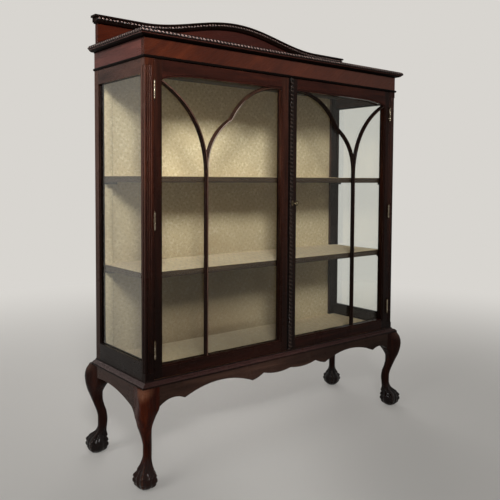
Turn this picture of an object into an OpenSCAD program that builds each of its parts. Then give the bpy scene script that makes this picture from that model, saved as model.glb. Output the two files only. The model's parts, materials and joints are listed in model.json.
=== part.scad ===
/* [Case] */
// Width of the case over the corner posts
case_w = 1160; // [1000:10:1400]
// Depth of the case, front to back
case_d = 332; // [300:2:420]
// Height from the top of the stand to the frieze
frame_h = 985; // [900:5:1100]
// Height of the frieze boards
frieze_h = 59; // [50:1:80]
// Thickness of the frieze boards
frieze_t = 18; // [14:1:20]
// Thickness of the case bottom behind the doors
bottom_t = 27; // [24:1:32]
// Thickness of the ceiling board and the dust board
board_t = 18; // [14:1:22]
// Thickness of the back panel
back_t = 8; // [6:1:12]
// Thickness of the cloth lining
lining_t = 1; // [0.6:0.1:1.5]

/* [Posts and sides] */
// Width of a front post, seen from the front
post_w = 31; // [27:1:40]
// Depth of a front post
post_d = 22; // [20:1:24]
// Width of a back post
back_post_w = 50; // [45:1:60]
// Depth of a back post
back_post_d = 28; // [25:1:34]
// Thickness of the side rails
side_rail_t = 22; // [20:1:24]
// Height of the bottom side rail
side_bottom_h = 73; // [60:1:90]
// Height of the top side rail
side_top_h = 46; // [36:1:60]
// Radius of the reed on the front corner of a post
reed_r = 5; // [3:0.5:6]
// Radius of the two flutes beside the reed
flute_r = 2.2; // [1.5:0.1:2.5]
// Plain length left at each end of the reed and flutes
reed_stop = 22; // [12:1:60]

/* [Glass] */
// Thickness of the glass
glass_t = 3; // [2:0.5:4]
// Depth of glass hidden behind the wood on each edge
glass_lap = 6; // [4:0.5:8]
// Thickness of the beads that hold the side glass
side_bead_t = 9; // [7:0.5:10]
// Thickness of the beads that hold the door glass
door_bead_t = 4; // [3:0.5:5]

/* [Doors] */
// Thickness of a door
door_t = 25; // [24:0.5:27]
// Gap round a door
door_gap = 1.5; // [1:0.1:2.5]
// Gap between the two doors
meeting_gap = 3; // [2:0.1:4]
// Width of the hinge stile
hinge_stile_w = 28; // [26:0.5:40]
// Width of the meeting stile
meeting_stile_w = 35; // [34:0.5:45]
// Height of the bottom rail
door_bottom_h = 39; // [30:1:60]
// Height of the top rail where the arch is highest
door_top_h = 40; // [32:1:60]
// How far the arch drops at the hinge stile
arch_drop = 21; // [10:1:40]
// Length of the curved end of the arch
arch_run = 170; // [100:5:220]
// Width of the step round the glass opening
step_w = 6; // [3:0.5:8]
// Depth of the step round the glass opening
step_d = 2.5; // [1:0.25:4]
// Width of the carved bead down the meeting edge
meeting_bead_w = 9; // [6:0.5:9]
// How far the carved bead stands out
meeting_bead_proud = 5; // [3:0.5:6]

/* [Glazing bars] */
// Width of a glazing bar
bar_w = 12; // [7:0.5:14]
// Depth of a glazing bar in front of the glass
bar_d = 14.5; // [6:0.5:16]
// Distance from the hinge stile to the upright bar's centre
bar_offset = 171; // [140:1:200]
// Height of the fork in the bars under the arch
fork_drop = 290; // [240:5:340]

/* [Shelves] */
// Height of the lower shelf's top above the case bottom
lower_shelf_h = 312; // [250:1:360]
// Height of the upper shelf's top above the case bottom
upper_shelf_h = 609; // [520:1:700]
// Thickness of a shelf
shelf_t = 19; // [15:1:25]
// Space between the doors and the shelf edge
shelf_setback = 11; // [8:1:40]
// Height of the ledges that carry the corners of the shelves
ledge_h = 8; // [6:1:16]
// Length of such a ledge
ledge_len = 34; // [24:1:50]

/* [Stand] */
// Height of the stand
stand_h = 308; // [290:1:330]
// Width of the square block at the top of a leg
leg_block = 56; // [50:1:60]
// How far the stand stands out past the case
stand_proud = 16; // [12:1:20]
// Thickness of the aprons
apron_t = 20; // [16:1:24]
// Height of the front apron at its middle
apron_mid_h = 40; // [30:1:60]
// Height of the front apron at the ends of its middle part
apron_low_h = 53; // [44:1:70]
// Height of the front apron beside a leg
apron_ear_h = 62; // [50:1:80]
// Rise of the long curves in the aprons
apron_rise = 29; // [15:1:35]
// Height of a side apron beside the front leg
side_ear_h = 92; // [70:1:92]
// Height of a side apron beside the back leg
side_apron_h = 40; // [32:1:60]
// Height of the plain back rail
back_rail_h = 58; // [45:1:70]
// How far the base moulding stands out
base_mould_w = 18; // [14:1:22]
// Height of the base moulding
base_mould_h = 18; // [14:1:20]

/* [Cornice and gallery] */
// Height of the cornice
cornice_h = 22; // [19:1:40]
// How far the cornice stands out past the case
cornice_w = 25; // [18:1:35]
// Radius of the carved rope on the cornice edge
rope_r = 5.5; // [4:0.5:8]
// Length of one turn of the carved rope
rope_pitch = 13; // [9:0.5:20]
// Height of the gallery cap's ends above the cornice
gallery_end_h = 100; // [60:1:120]
// Extra height of the gallery at its middle
gallery_rise = 58; // [30:1:90]
// Distance from the middle to where the gallery's top runs level
gallery_reach = 420; // [250:5:440]
// Thickness of the gallery board
gallery_t = 18; // [14:1:22]
// Height of the gallery cap
cap_h = 25; // [20:1:30]
// Depth of the gallery cap, front to back
cap_d = 38; // [32:1:50]

/* [Hinges and locks] */
// Length of a hinge
hinge_h = 50.8; // [38:0.2:64]
// Radius of the hinge knuckles
knuckle_r = 3.2; // [2.8:0.1:3.6]
// Radius of the hinge pins
pin_r = 1.5; // [1:0.1:1.8]
// Thickness of a hinge leaf
leaf_t = 1.6; // [1.4:0.1:1.8]
// How far the knuckle centre stands out from the door face
knuckle_proud = 3.8; // [3.6:0.1:4.2]
// Distance from the meeting edge to the keyhole
key_inset = 14.5; // [14:0.5:16]
// Height of the keyhole above the case bottom
key_h = 545; // [450:5:600]
// Radius of the key's shank
key_shank_r = 2; // [1.5:0.1:2.5]
// Travel of the lock bolt
lock_throw = 7; // [5:0.5:8]
// Radius of the door bolts
bolt_r = 3; // [2.5:0.1:3.5]
// Travel of the door bolts
bolt_throw = 11; // [8:0.5:14]

/* [Hidden] */

$fn = 48;

// Clearances that more than one piece shares
running = 0.05;
slip = 0.3;
side_slip = 0.5;
mitre_gap = 0.1;

// Tongue of the cornice that lies on the frieze, in front of the dust board
cornice_tail = 10;

// Outer planes of the case
half_w = case_w / 2;
half_d = case_d / 2;
case_z = stand_h;
frieze_z = case_z + frame_h;
cornice_z = frieze_z + frieze_h;
cornice_top = cornice_z + cornice_h;
far = case_w;

// Inner planes of the case
post_in = half_w - post_w;
front_in = -half_d + post_d;
back_in = half_d - back_post_d;
back_post_in = half_w - back_post_w;
rail_in = half_w - side_rail_t;
floor_z = case_z + bottom_t;
back_recess = 8;
back_face = half_d - back_t - back_recess;
lining_face = back_face - lining_t;

// Side glass opening and the planes of its glass and beads
side_open_z0 = case_z + side_bottom_h;
side_open_z1 = frieze_z - side_top_h;
side_rebate_cover = 8;
side_glass_out = half_w - side_rebate_cover;
side_glass_in = side_glass_out - glass_t;
side_bead_in = side_glass_in - side_bead_t;

// Doors
door_z0 = case_z + base_mould_h + door_gap;
door_z1 = frieze_z - door_gap;
door_out = post_in - door_gap;
door_in = meeting_gap / 2;
door_face = -half_d;
door_back = door_face + door_t;
open_out = door_out - hinge_stile_w;
open_in = door_in + meeting_stile_w;
open_z0 = door_z0 + door_bottom_h;
open_z1 = door_z1 - door_top_h;
arch_end_z = open_z1 - arch_drop;
door_bead_y = door_back - door_bead_t;
door_glass_y = door_bead_y - glass_t;
bar_y = door_glass_y - bar_d;
bar_x = open_out - bar_offset;
fork_z = open_z1 - fork_drop;

// Hinges
hinge_x = post_in - door_gap / 2;
hinge_y = door_face - knuckle_proud;
hinge_inset = 90;
hinge_zs = [door_z0 + hinge_inset, (door_z0 + door_z1) / 2, door_z1 - hinge_inset];
leaf_w = 18;
leaf_gap = 0.1;
leaf_seat = leaf_t - (door_gap - leaf_gap) / 2;
leaf_y0 = hinge_y + knuckle_r + slip;

// Lock and key
key_x = door_in + key_inset;
key_z = case_z + key_h;
lock_t = 12;
lock_y0 = door_back - lock_t;
lock_wall = 1.5;
lock_half_h = 24;
lock_w = 27;
bolt_bar_h = 12;
bolt_bar_t = 5;
bolt_bar_z = key_z + 8;
bolt_bar_y = lock_y0 + (lock_t - bolt_bar_t) / 2;
mortise_spare = 3;
bit_len = 6;
bit_t = 1.8;
key_out = 15;
key_bow_r = 7.5;
key_wire_r = 1.7;
collar_r = key_shank_r + 1.2;
keyhole_r = key_shank_r + 1;

// Inside door bolts
bolt_x = -(door_in + meeting_stile_w / 2);
bolt_plate_t = 2;
bolt_plate_len = 70;
bolt_plate_w = 16;
guide_w = 12;
guide_h = 8;
guide_wall = 1.6;
bolt_y = door_back + bolt_plate_t + bolt_r + 0.5;
bolt_end_gap = 1;
top_tip = 12;
bottom_tip = 18;
bolt_tail = 12;
bolt_hole_spare = 3;
top_bolt_z1 = door_z1 - bolt_end_gap;
bottom_bolt_z0 = floor_z + lining_t + bolt_end_gap;
knob_r = 3;
knob_stem_r = 2;
knob_stem = 8;

// Legs
block_corner = stand_proud * sqrt(2);
block_half = leg_block / sqrt(2);
block_inner = block_corner - 2 * block_half;
block_in_x = half_w + stand_proud - leg_block;
block_in_y = half_d + stand_proud - leg_block;
leg_sides = 32;

// Heights as drawn; above block_foot a leg is square and keeps its length when the stand changes
drawn_h = 308;
block_foot = 256;
leg_levels = [0, 4, 9, 15, 21, 28, 35, 42, 48, 54, 60, 66, 72, 80, 90, 104, 122, 140,
    156, 172, 188, 204, 220, 234, 244, 250, block_foot, 268, 280, 294, drawn_h];

// Real height of a drawn one
function leg_z(h) =
    h > block_foot ? h + stand_h - drawn_h : h * (stand_h - drawn_h + block_foot) / block_foot;

// Profile of a leg along the diagonal through its corner: height, distance outward
leg_front_line = [[0, 11], [4, 17], [9, 23], [15, 28], [28, 34], [42, 33], [54, 27], [63, 16],
    [77, 1], [98, -4], [122, -4], [143, 0], [164, 8], [188, 18.5], [221, 34], [247, 40.5],
    [266, 42], [280, 39.5], [294, 34], [drawn_h, block_corner + 1.5]];
leg_back_line = [[0, -11], [4, -17], [9, -23], [15, -28], [28, -34], [42, -33], [54, -31],
    [72, -31], [93, -35], [117, -37], [141, -34], [164, -26], [188, -20], [207, -18],
    [219, -20], [238, -22], [247, -28], [block_foot, block_inner], [drawn_h, block_inner]];
// Height, distance along the diagonal, half width of the leg's two side corners
short_ear_u = [[0, 0], [42, 0], [63, -8], [77, -15], [98, -20], [122, -21], [143, -16],
    [164, -7], [188, 1], [204, -1], [221, -6], [232, -11], [240, -15],
    [246, block_corner - block_half], [drawn_h, block_corner - block_half]];
short_ear_v = [[0, 11], [4, 17], [9, 23], [15, 28], [28, 33], [40, 32], [54, 24], [64, 18],
    [77, 15], [98, 13.5], [122, 13.5], [143, 14.5], [164, 17], [188, 20.5], [204, 25],
    [221, 31], [232, 36], [240, 39], [246, block_half], [drawn_h, block_half]];
deep_ear_u = [[0, 0], [42, 0], [63, -8], [77, -15], [98, -20], [122, -21], [143, -18],
    [164, -13], [188, -6], [204, -10], [220, block_corner - block_half],
    [drawn_h, block_corner - block_half]];
deep_ear_v = [[0, 11], [4, 17], [9, 23], [15, 28], [28, 33], [40, 32], [54, 24], [64, 18],
    [77, 15], [98, 13.5], [122, 13.5], [143, 16], [164, 20.5], [188, 27], [204, 32],
    [220, block_half], [drawn_h, block_half]];
// Height and height of the four claws over the ball
claw_line = [[0, 0], [6, 1], [15, 3.5], [24, 5], [33, 3.5], [43, 5.5], [52, 3.5], [60, 5.5],
    [70, 3.5], [80, 1.2], [95, 0], [drawn_h, 0]];
// Directions of the claws round the ball, and how wide each one is
claw_angles = [0, 78, 180, 282, 360];
claw_spread = 13;

// Box between two opposite corners
module span(x0, x1, y0, y1, z0, z1) {
    translate([x0, y0, z0]) cube([x1 - x0, y1 - y0, z1 - z0]);
}

// The children and their mirror image in the middle plane
module both_sides() {
    children();
    mirror([1, 0, 0]) children();
}

// Points of a curve from a to b that bulges by rise to the left of its way
function bow(a, b, rise, steps = 10) =
    let (d = b - a, peak = (a + b) / 2 + [-d[1], d[0]] / norm(d) * 2 * rise)
    [for (i = [0:steps]) let (t = i / steps)
        (1 - t) * (1 - t) * a + 2 * t * (1 - t) * peak + t * t * b];

// The same points mirrored in the upright axis, in reverse order
function flipped(points) = [for (i = [len(points) - 1:-1:0]) [-points[i][0], points[i][1]]];

// Upright plate with an outline in x and z, from the plane y0 back to y1
module plate(points, y0, y1) {
    translate([0, y1, 0]) rotate([90, 0, 0]) linear_extrude(y1 - y0) polygon(points);
}

// Cross-section of a leg at one drawn height, as a ring of points
function leg_ring(z, deep) =
    let (
        front = lookup(z, leg_front_line),
        back = lookup(z, leg_back_line),
        centre = (front + back) / 2,
        blockness = min(1, max(0, (z - 150) / (block_foot - 150))),
        front_power = 2 - 0.85 * blockness,
        back_power = 2 - blockness,
        claw = lookup(z, claw_line)
    )
    [for (i = [0:leg_sides - 1])
        let (
            angle = 360 * i / leg_sides,
            c = cos(angle),
            s = sin(angle),
            ear_u = lookup(z, deep && s > 0 ? deep_ear_u : short_ear_u),
            ear_v = lookup(z, deep && s > 0 ? deep_ear_v : short_ear_v),
            tip = c >= 0 ? front : back,
            power = c >= 0 ? front_power : back_power,
            u = ear_u + (tip - ear_u) * pow(abs(c), 2 / power),
            v = sign(s) * ear_v * pow(abs(s), 2 / power),
            away = min([for (at = claw_angles) abs(angle - at)]),
            reach = max(1, norm([u - centre, v])),
            swell = 1 + claw * exp(-pow(away / claw_spread, 2)) / reach
        )
        [centre + (u - centre) * swell, v * swell, leg_z(z)]];

// Cabriole leg with a ball-and-claw foot, its diagonal along x, its corner on the z axis
module cabriole(deep) {
    rings = len(leg_levels);
    points = [for (z = leg_levels) each leg_ring(z, deep)];
    walls = [for (r = [0:rings - 2], i = [0:leg_sides - 1])
        let (a = r * leg_sides + i, b = r * leg_sides + (i + 1) % leg_sides)
        each [[a, a + leg_sides, b], [b, a + leg_sides, b + leg_sides]]];
    bottom = [[for (i = [0:leg_sides - 1]) i]];
    top = [[for (i = [leg_sides - 1:-1:0]) (rings - 1) * leg_sides + i]];
    polyhedron(points, concat(walls, bottom, top), convexity = 6);
}

module leg_front_right() {
    color("#4a1f17") translate([half_w, -half_d, 0]) rotate(-45) cabriole(true);
}

module leg_front_left() {
    mirror([1, 0, 0]) leg_front_right();
}

module leg_back_right() {
    color("#3b1a14") translate([half_w, half_d, 0]) mirror([0, 1, 0]) rotate(-45) cabriole(false);
}

module leg_back_left() {
    mirror([1, 0, 0]) leg_back_right();
}

// Lower edge of the front apron from the middle to one leg, as offsets from the stand top
function apron_half_edge() =
    let (
        l = block_in_x,
        centre = [0, -apron_mid_h],
        scroll = [0.233 * l, -0.9 * apron_mid_h],
        corner = [0.325 * l, -apron_low_h],
        spur = [0.83 * l, -apron_low_h],
        ear = [l, -apron_ear_h]
    )
    concat(
        bow(centre, scroll, -0.2 * apron_mid_h, 8), bow(scroll, corner, -0.07 * apron_mid_h, 5),
        bow(corner, spur, apron_rise, 14), bow(spur, ear, apron_rise / 2, 8)
    );

module front_apron() {
    edge = apron_half_edge();
    outline = concat(flipped(edge), edge, [[block_in_x, 0], [-block_in_x, 0]]);
    face = -half_d - stand_proud;
    color("#3a1a14") translate([0, 0, stand_h]) plate(outline, face, face + apron_t);
}

// Lower edge of a side apron: nearly level behind, swept down into the front leg
module side_aprons() {
    l = block_in_y;
    face = half_w + stand_proud;
    knee = [-0.85 * l, -0.75 * side_ear_h];
    edge = concat(
        bow([-l, -side_ear_h], knee, apron_rise / 14, 5),
        bow(knee, [l, -side_apron_h], apron_rise / 2, 14));
    color("#3b2420") both_sides()
        translate([face, 0, stand_h]) rotate([90, 0, -90]) mirror([1, 0, 0])
            linear_extrude(apron_t) polygon(concat(edge, [[l, 0], [-l, 0]]));
}

module back_rail() {
    face = half_d + stand_proud;
    color("#8a6a48") span(-block_in_x, block_in_x, face - apron_t, face, stand_h - back_rail_h, stand_h);
}

// Plan areas that reach past every moulding, outward and inward
mitre_out = cornice_w + base_mould_w;
mitre_in = 2 * cornice_tail;

// Plan area whose mitred ends bound the front length of a moulding
module front_mitre() {
    x = half_w - mitre_gap;
    translate([0, 0, -1]) linear_extrude(2 * cornice_top) polygon([
        [-x + mitre_in, -half_d + mitre_in], [-x - mitre_out, -half_d - mitre_out],
        [x + mitre_out, -half_d - mitre_out], [x - mitre_in, -half_d + mitre_in]]);
}

// Plan area whose mitred end bounds the right-hand length of a moulding
module side_mitre() {
    translate([0, 0, -1]) linear_extrude(2 * cornice_top) polygon([
        [half_w - mitre_in, -half_d + mitre_in], [half_w + mitre_out, -half_d - mitre_out],
        [half_w + mitre_out, half_d], [half_w - mitre_in, half_d]]);
}

// Moulding round the front and both sides; its profile is given as distance out and height
module mitred(profile, z) {
    intersection() {
        translate([-far, -half_d, z]) rotate([90, 0, 90]) linear_extrude(2 * far)
            polygon([for (p = profile) [-p[0], p[1]]]);
        front_mitre();
    }
    both_sides() intersection() {
        translate([half_w, far, z]) rotate([90, 0, 0]) linear_extrude(2 * far) polygon(profile);
        side_mitre();
    }
}

// Ogee that covers the joint between the case and its stand
module base_moulding() {
    w = base_mould_w;
    h = base_mould_h;
    color("#4a3330") mitred(concat(
        [[0, 0], [w - 0.5, 0], [w, 0.8], [w, 3.5], [w - 1, 4.8]],
        bow([w - 2, 5.2], [w / 2, h - 7], -1.2, 5), bow([w / 2, h - 7], [2, h - 1], 1.2, 5),
        [[0, h]]), case_z);
}

// Square mortise that takes the tip of an inside bolt
module bolt_mortise(z0, z1) {
    w = bolt_r + slip;
    span(bolt_x - w, bolt_x + w, bolt_y - w, bolt_y + w, z0, z1);
}

module bottom_board() {
    step_z = case_z + base_mould_h;
    color("#8a6a48") difference() {
        span(-rail_in, rail_in, door_face, back_face, case_z, floor_z);
        span(-far, far, door_face - 1, door_back + side_slip, step_z, floor_z + 1);
        both_sides() span(post_in, far, door_face - 1, front_in, case_z - 1, floor_z + 1);
        both_sides() span(back_post_in, far, back_in, far, case_z - 1, floor_z + 1);
        bolt_mortise(bottom_bolt_z0 - bolt_throw - bolt_hole_spare, floor_z + 1);
    }
}

module bottom_lining() {
    color("#c8b991") difference() {
        span(-rail_in, rail_in, door_back + side_slip, lining_face, floor_z, floor_z + lining_t);
        both_sides() span(post_in, far, -far, front_in, 0, far);
        both_sides() span(back_post_in, far, back_in, far, 0, far);
        bolt_mortise(floor_z - 1, floor_z + lining_t + 1);
    }
}

// Room for the side glass and its beads behind the rails and posts
module side_rebate(extra) {
    span(side_bead_in - extra, side_glass_out, front_in - glass_lap, back_in + glass_lap,
        side_open_z0 - glass_lap, side_open_z1 + glass_lap);
}

// Seats for the hinge leaves: side 1 for the post, side -1 for the door's edge
module hinge_pockets(x, side) {
    for (z = hinge_zs)
        span(min(x - side, x + side * leaf_seat), max(x - side, x + side * leaf_seat), -half_d - 1,
            leaf_y0 + leaf_w, z - hinge_h / 2, z + hinge_h / 2);
}

// Upright groove with round ends, cut into the front face of a post
module flute(x, z0, z1) {
    translate([x, -half_d, z0]) cylinder(h = z1 - z0, r = flute_r, $fn = 24);
    for (z = [z0, z1]) translate([x, -half_d, z]) sphere(r = flute_r, $fn = 24);
}

module front_post() {
    z0 = case_z + base_mould_h + reed_stop;
    z1 = frieze_z - reed_stop;
    quirk = 2 * reed_r + 1;
    land = 2;
    centre = [half_w - reed_r, -half_d + reed_r];
    difference() {
        span(post_in, half_w, -half_d, front_in, case_z, frieze_z);
        difference() {
            span(half_w - quirk, half_w + 1, -half_d - 1, -half_d + quirk, z0, z1);
            translate([half_w - quirk, -half_d + quirk, z0 - 1]) cylinder(h = frame_h, r = reed_r * 0.6);
            translate([centre[0], centre[1], z0 - 1]) cylinder(h = frame_h, r = reed_r);
        }
        flute(half_w - quirk - flute_r - land, z0, z1);
        flute(half_w - quirk - 3 * flute_r - 2 * land, z0, z1);
        side_rebate(0);
        hinge_pockets(post_in, 1);
    }
}

module front_posts() {
    color("#3c1d17") both_sides() front_post();
}

module back_posts() {
    color("#3c1d17") both_sides() difference() {
        span(back_post_in, half_w, back_in, half_d, case_z, frieze_z);
        side_rebate(0);
    }
}

module side_bottom_rails() {
    color("#46302b") both_sides() difference() {
        span(rail_in, half_w, front_in, back_in, case_z, side_open_z0);
        side_rebate(5);
    }
}

module side_top_rails() {
    color("#46302b") both_sides() difference() {
        span(rail_in, half_w, front_in, back_in, side_open_z1, frieze_z);
        side_rebate(5);
    }
}

module side_glasses() {
    color("#c8d8d0", 0.35) both_sides()
        span(side_glass_in, side_glass_out, front_in - glass_lap + side_slip, back_in + glass_lap - side_slip,
            side_open_z0 - glass_lap, side_open_z1 + glass_lap - side_slip);
}

// Four beads hold each side glass
module side_glass_beads() {
    color("#46302b") both_sides() {
        for (y = [[front_in - glass_lap, front_in], [back_in, back_in + glass_lap]])
            span(side_bead_in, side_glass_in, y[0], y[1], side_open_z0 - glass_lap, side_open_z1 + glass_lap);
        for (z = [[side_open_z0 - glass_lap, side_open_z0], [side_open_z1, side_open_z1 + glass_lap]])
            span(side_bead_in, side_glass_in, front_in + mitre_gap, back_in - mitre_gap, z[0], z[1]);
    }
}

module back_panel() {
    color("#9a7a55") span(-back_post_in, back_post_in, back_face, back_face + back_t, case_z, frieze_z);
}

module back_lining() {
    color("#c8b991") span(-back_post_in, back_post_in, lining_face, back_face, floor_z, frieze_z);
}

// Short ledges on the posts carry the four corners of each shelf
module shelf_ledges() {
    color("#3c1d17") both_sides() for (h = [lower_shelf_h, upper_shelf_h]) {
        z1 = floor_z + h - shelf_t;
        span(post_in, side_bead_in, front_in, front_in + ledge_len, z1 - ledge_h, z1);
        span(back_post_in, side_bead_in, back_in - ledge_len, back_in, z1 - ledge_h, z1);
    }
}

// Board with a thumbnail front edge, notched round the back posts
module shelf(h) {
    y0 = door_back + shelf_setback;
    z1 = floor_z + h;
    z0 = z1 - shelf_t;
    nose = 6;
    color("#33180f") difference() {
        translate([-side_bead_in, 0, 0]) rotate([90, 0, 90]) linear_extrude(2 * side_bead_in)
            polygon(concat(
                [[lining_face - side_slip, z0], [lining_face - side_slip, z1], [y0 + nose, z1]],
                bow([y0 + nose, z1 - 1.5], [y0, z1 - 8], 2, 6),
                [[y0, z0 + 4], [y0 + 2, z0 + 2], [y0 + 2, z0]]));
        both_sides() span(back_post_in - side_slip, far, back_in - side_slip, far, z0 - 1, z1 + 1);
    }
}

module lower_shelf() {
    shelf(lower_shelf_h);
}

module upper_shelf() {
    shelf(upper_shelf_h);
}

module shelf_linings() {
    y0 = door_back + shelf_setback + 8;
    color("#c8b991") for (h = [lower_shelf_h, upper_shelf_h]) difference() {
        span(-side_bead_in, side_bead_in, y0, lining_face - side_slip, floor_z + h, floor_z + h + lining_t);
        both_sides() span(back_post_in - side_slip, far, back_in - side_slip, far, 0, 2 * far);
    }
}

module ceiling_board() {
    color("#8a6a48") difference() {
        span(-half_w + frieze_t, half_w - frieze_t, -half_d + frieze_t, half_d - frieze_t,
            frieze_z, frieze_z + board_t);
        bolt_mortise(frieze_z - 1, top_bolt_z1 + bolt_throw + bolt_hole_spare);
    }
}

module frieze_front() {
    color("#69342a") span(-half_w, half_w, -half_d, -half_d + frieze_t, frieze_z, cornice_z);
}

// The two side boards of the frieze and the plain board behind
module frieze_returns() {
    color("#6e4b46") {
        both_sides() span(half_w - frieze_t, half_w, -half_d + frieze_t, half_d, frieze_z, cornice_z);
        span(-half_w + frieze_t + mitre_gap, half_w - frieze_t - mitre_gap,
            half_d - frieze_t, half_d, frieze_z, cornice_z);
    }
}

// Half-round bead along the foot of the frieze
module frieze_bead() {
    r = 4.2;
    section = concat([[0, 0]], bow([1.5, 0], [1.5, 2 * r], -0.85 * r, 10), [[0, 2 * r]]);
    color("#241310") mitred(section, frieze_z);
}

module dust_board() {
    color("#8a6a48")
        span(-half_w + cornice_tail, half_w - cornice_tail, -half_d + cornice_tail, half_d,
            cornice_z, cornice_z + board_t);
}

// Ovolo and fillets under the carved rope
module cornice() {
    w = cornice_w - rope_r;
    h = cornice_h;
    rope_z = h - 2 * rope_r - 2;
    color("#2a1613") mitred(concat(
        [[-cornice_tail, 0], [2, 0], [2, 2.5]], bow([3.5, 2.5], [w - 2, rope_z - 3], -1.8, 8),
        [[w, rope_z - 1.5], [w, h - 2], [w - 2, h], [-cornice_tail, h]]), cornice_z);
}

// Half-round section of a carved rope at one step along it, as distances up and out
rope_sides = 4;
function rope_section(step, last, r) =
    let (swell = step == 0 || step == last ? 0.86 : step % 2 == 0 ? 0.78 : 1)
    [for (k = [0:rope_sides]) let (a = 180 * k / rope_sides) [r * swell * cos(a), r * swell * sin(a)]];

// Skin over equal sections that lie one after the other
module rope_skin(points, last) {
    n = rope_sides + 1;
    walls = [for (i = [0:last - 1], k = [0:n - 1])
        let (a = i * n + k, b = i * n + (k + 1) % n)
        each [[a, b, a + n], [b, b + n, a + n]]];
    start = [[for (k = [n - 1:-1:0]) k]];
    end = [[for (k = [0:n - 1]) last * n + k]];
    polyhedron(points, concat(walls, start, end), convexity = 4);
}

// Carved rope along x from 0 to a length, standing out to -y, mitred where mitre is 1
module rope_run(length, r, mitre_start, mitre_end) {
    last = 2 * max(2, round(length / rope_pitch));
    points = [for (i = [0:last]) each
        [for (p = rope_section(i, last, r))
            let (lean = i == 0 ? mitre_start * (mitre_gap - p[1]) :
                i == last ? mitre_end * (p[1] - mitre_gap) : 0.8 * p[0])
            [i * length / last + lean, -p[1], p[0]]]];
    rope_skin(points, last);
}

module cornice_rope() {
    edge = cornice_w - rope_r;
    z = cornice_top - rope_r - 2;
    front_l = 2 * (half_w + edge);
    side_l = case_d + edge;
    color("#5f4b4b") {
        translate([-front_l / 2, -half_d - edge, z]) rope_run(front_l, rope_r, 1, 1);
        both_sides() translate([half_w + edge, -half_d - edge, z]) rotate(90) rope_run(side_l, rope_r, 1, 0);
    }
}

// Height of the top line of the gallery over the cornice, at a distance from its middle
function gallery_line(x) =
    gallery_end_h + gallery_rise * (abs(x) < gallery_reach ? (1 + cos(180 * x / gallery_reach)) / 2 : 0);

// Points of that line from end to end, lowered by drop
gallery_half = half_w - 4;
cap_half = half_w + 12;
function gallery_curve(half, drop, steps = 36) =
    concat([[-half, cornice_top + gallery_end_h - drop]],
        [for (i = [0:steps]) let (x = gallery_reach * (2 * i / steps - 1))
            [x, cornice_top + gallery_line(x) - drop]],
        [[half, cornice_top + gallery_end_h - drop]]);

module gallery_board() {
    foot_z = cornice_z + board_t;
    foot = half_w - cornice_tail;
    color("#4a2620") plate(concat(
        gallery_curve(gallery_half, cap_h),
        [[gallery_half, cornice_top], [foot, cornice_top], [foot, foot_z],
         [-foot, foot_z], [-foot, cornice_top], [-gallery_half, cornice_top]]),
        half_d - gallery_t, half_d);
}

// Band between two drops below the gallery's top line
module cap_band(half, drop0, drop1, depth) {
    top = gallery_curve(half, drop0);
    low = gallery_curve(half, drop1);
    plate(concat(top, [for (i = [len(low) - 1:-1:0]) low[i]]), half_d - depth, half_d);
}

module gallery_cap() {
    color("#2f1c17") {
        cap_band(cap_half, 0, 7, cap_d);
        cap_band(cap_half - 6, 7, cap_h - 4, cap_d - 6);
        cap_band(cap_half - 10, cap_h - 4, cap_h, cap_d - 12);
    }
}

// Carved rope that follows the curve of the gallery cap along its front
module gallery_rope() {
    half = cap_half - 6;
    last = 2 * round(2 * half / rope_pitch);
    mid = (7 + cap_h - 4) / 2;
    y = half_d - cap_d + 6;
    points = [for (i = [0:last]) each
        [for (p = rope_section(i, last, (cap_h - 11) / 2 - 1))
            let (x = -half + 2 * half * i / last + (i == 0 || i == last ? 0 : 0.8 * p[0]))
            [x, y - p[1], cornice_top + gallery_line(x) - mid + p[0]]]];
    color("#5f4b4b") rope_skin(points, last);
}

// Outline of the glass opening of the right door, larger by grow on every side
function door_opening(grow) =
    let (
        x0 = open_in - grow,
        x1 = open_out + grow,
        z0 = open_z0 - grow,
        z1 = open_z1 + grow
    )
    concat([[x1, z0]],
        [for (i = [0:12]) let (a = 90 * i / 12)
            [open_out - arch_run + (arch_run + grow) * cos(a), arch_end_z + (arch_drop + grow) * sin(a)]],
        [[x0, z1], [x0, z0]]);

// Whole frame of the right door before it is parted into stiles and rails
module door_frame() {
    difference() {
        span(door_in, door_out, door_face, door_back, door_z0, door_z1);
        plate(door_opening(0), door_face - 1, door_back + 1);
        plate(door_opening(step_w), door_face - 1, door_face + step_d);
        span(open_in - glass_lap, open_out + glass_lap, door_glass_y, door_back + 1,
            open_z0 - glass_lap, open_z1 + glass_lap);
    }
}

module door_part(x0, x1, z0, z1) {
    intersection() {
        door_frame();
        span(x0, x1, door_face - 1, door_back + 1, z0, z1);
    }
}

module hinge_stile() {
    difference() {
        door_part(open_out, far, 0, 2 * far);
        hinge_pockets(door_out, -1);
    }
}

module right_hinge_stile() {
    color("#3c1d17") hinge_stile();
}

module left_hinge_stile() {
    mirror([1, 0, 0]) right_hinge_stile();
}

// The lock is let into the back of the right meeting stile
module right_meeting_stile() {
    color("#3c1d17") difference() {
        door_part(0, open_in, 0, 2 * far);
        span(door_in - 1, door_in + lock_w, lock_y0, door_back + 1,
            key_z - lock_half_h, key_z + lock_half_h);
        translate([key_x, lock_y0 + 1, key_z]) rotate([90, 0, 0])
            cylinder(h = door_t, r = keyhole_r);
    }
}

// The left meeting stile has the mortise that takes the lock bolt
module left_meeting_stile() {
    color("#3c1d17") difference() {
        mirror([1, 0, 0]) door_part(0, open_in, 0, 2 * far);
        span(-door_in - lock_throw - mortise_spare, 0, bolt_bar_y - slip, bolt_bar_y + bolt_bar_t + slip,
            bolt_bar_z - slip, bolt_bar_z + bolt_bar_h + slip);
    }
}

module right_top_rail() {
    color("#35190f") door_part(open_in, open_out, arch_end_z, 2 * far);
}

module left_top_rail() {
    mirror([1, 0, 0]) right_top_rail();
}

module right_bottom_rail() {
    color("#241310") door_part(open_in, open_out, 0, open_z0);
}

module left_bottom_rail() {
    mirror([1, 0, 0]) right_bottom_rail();
}

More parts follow.
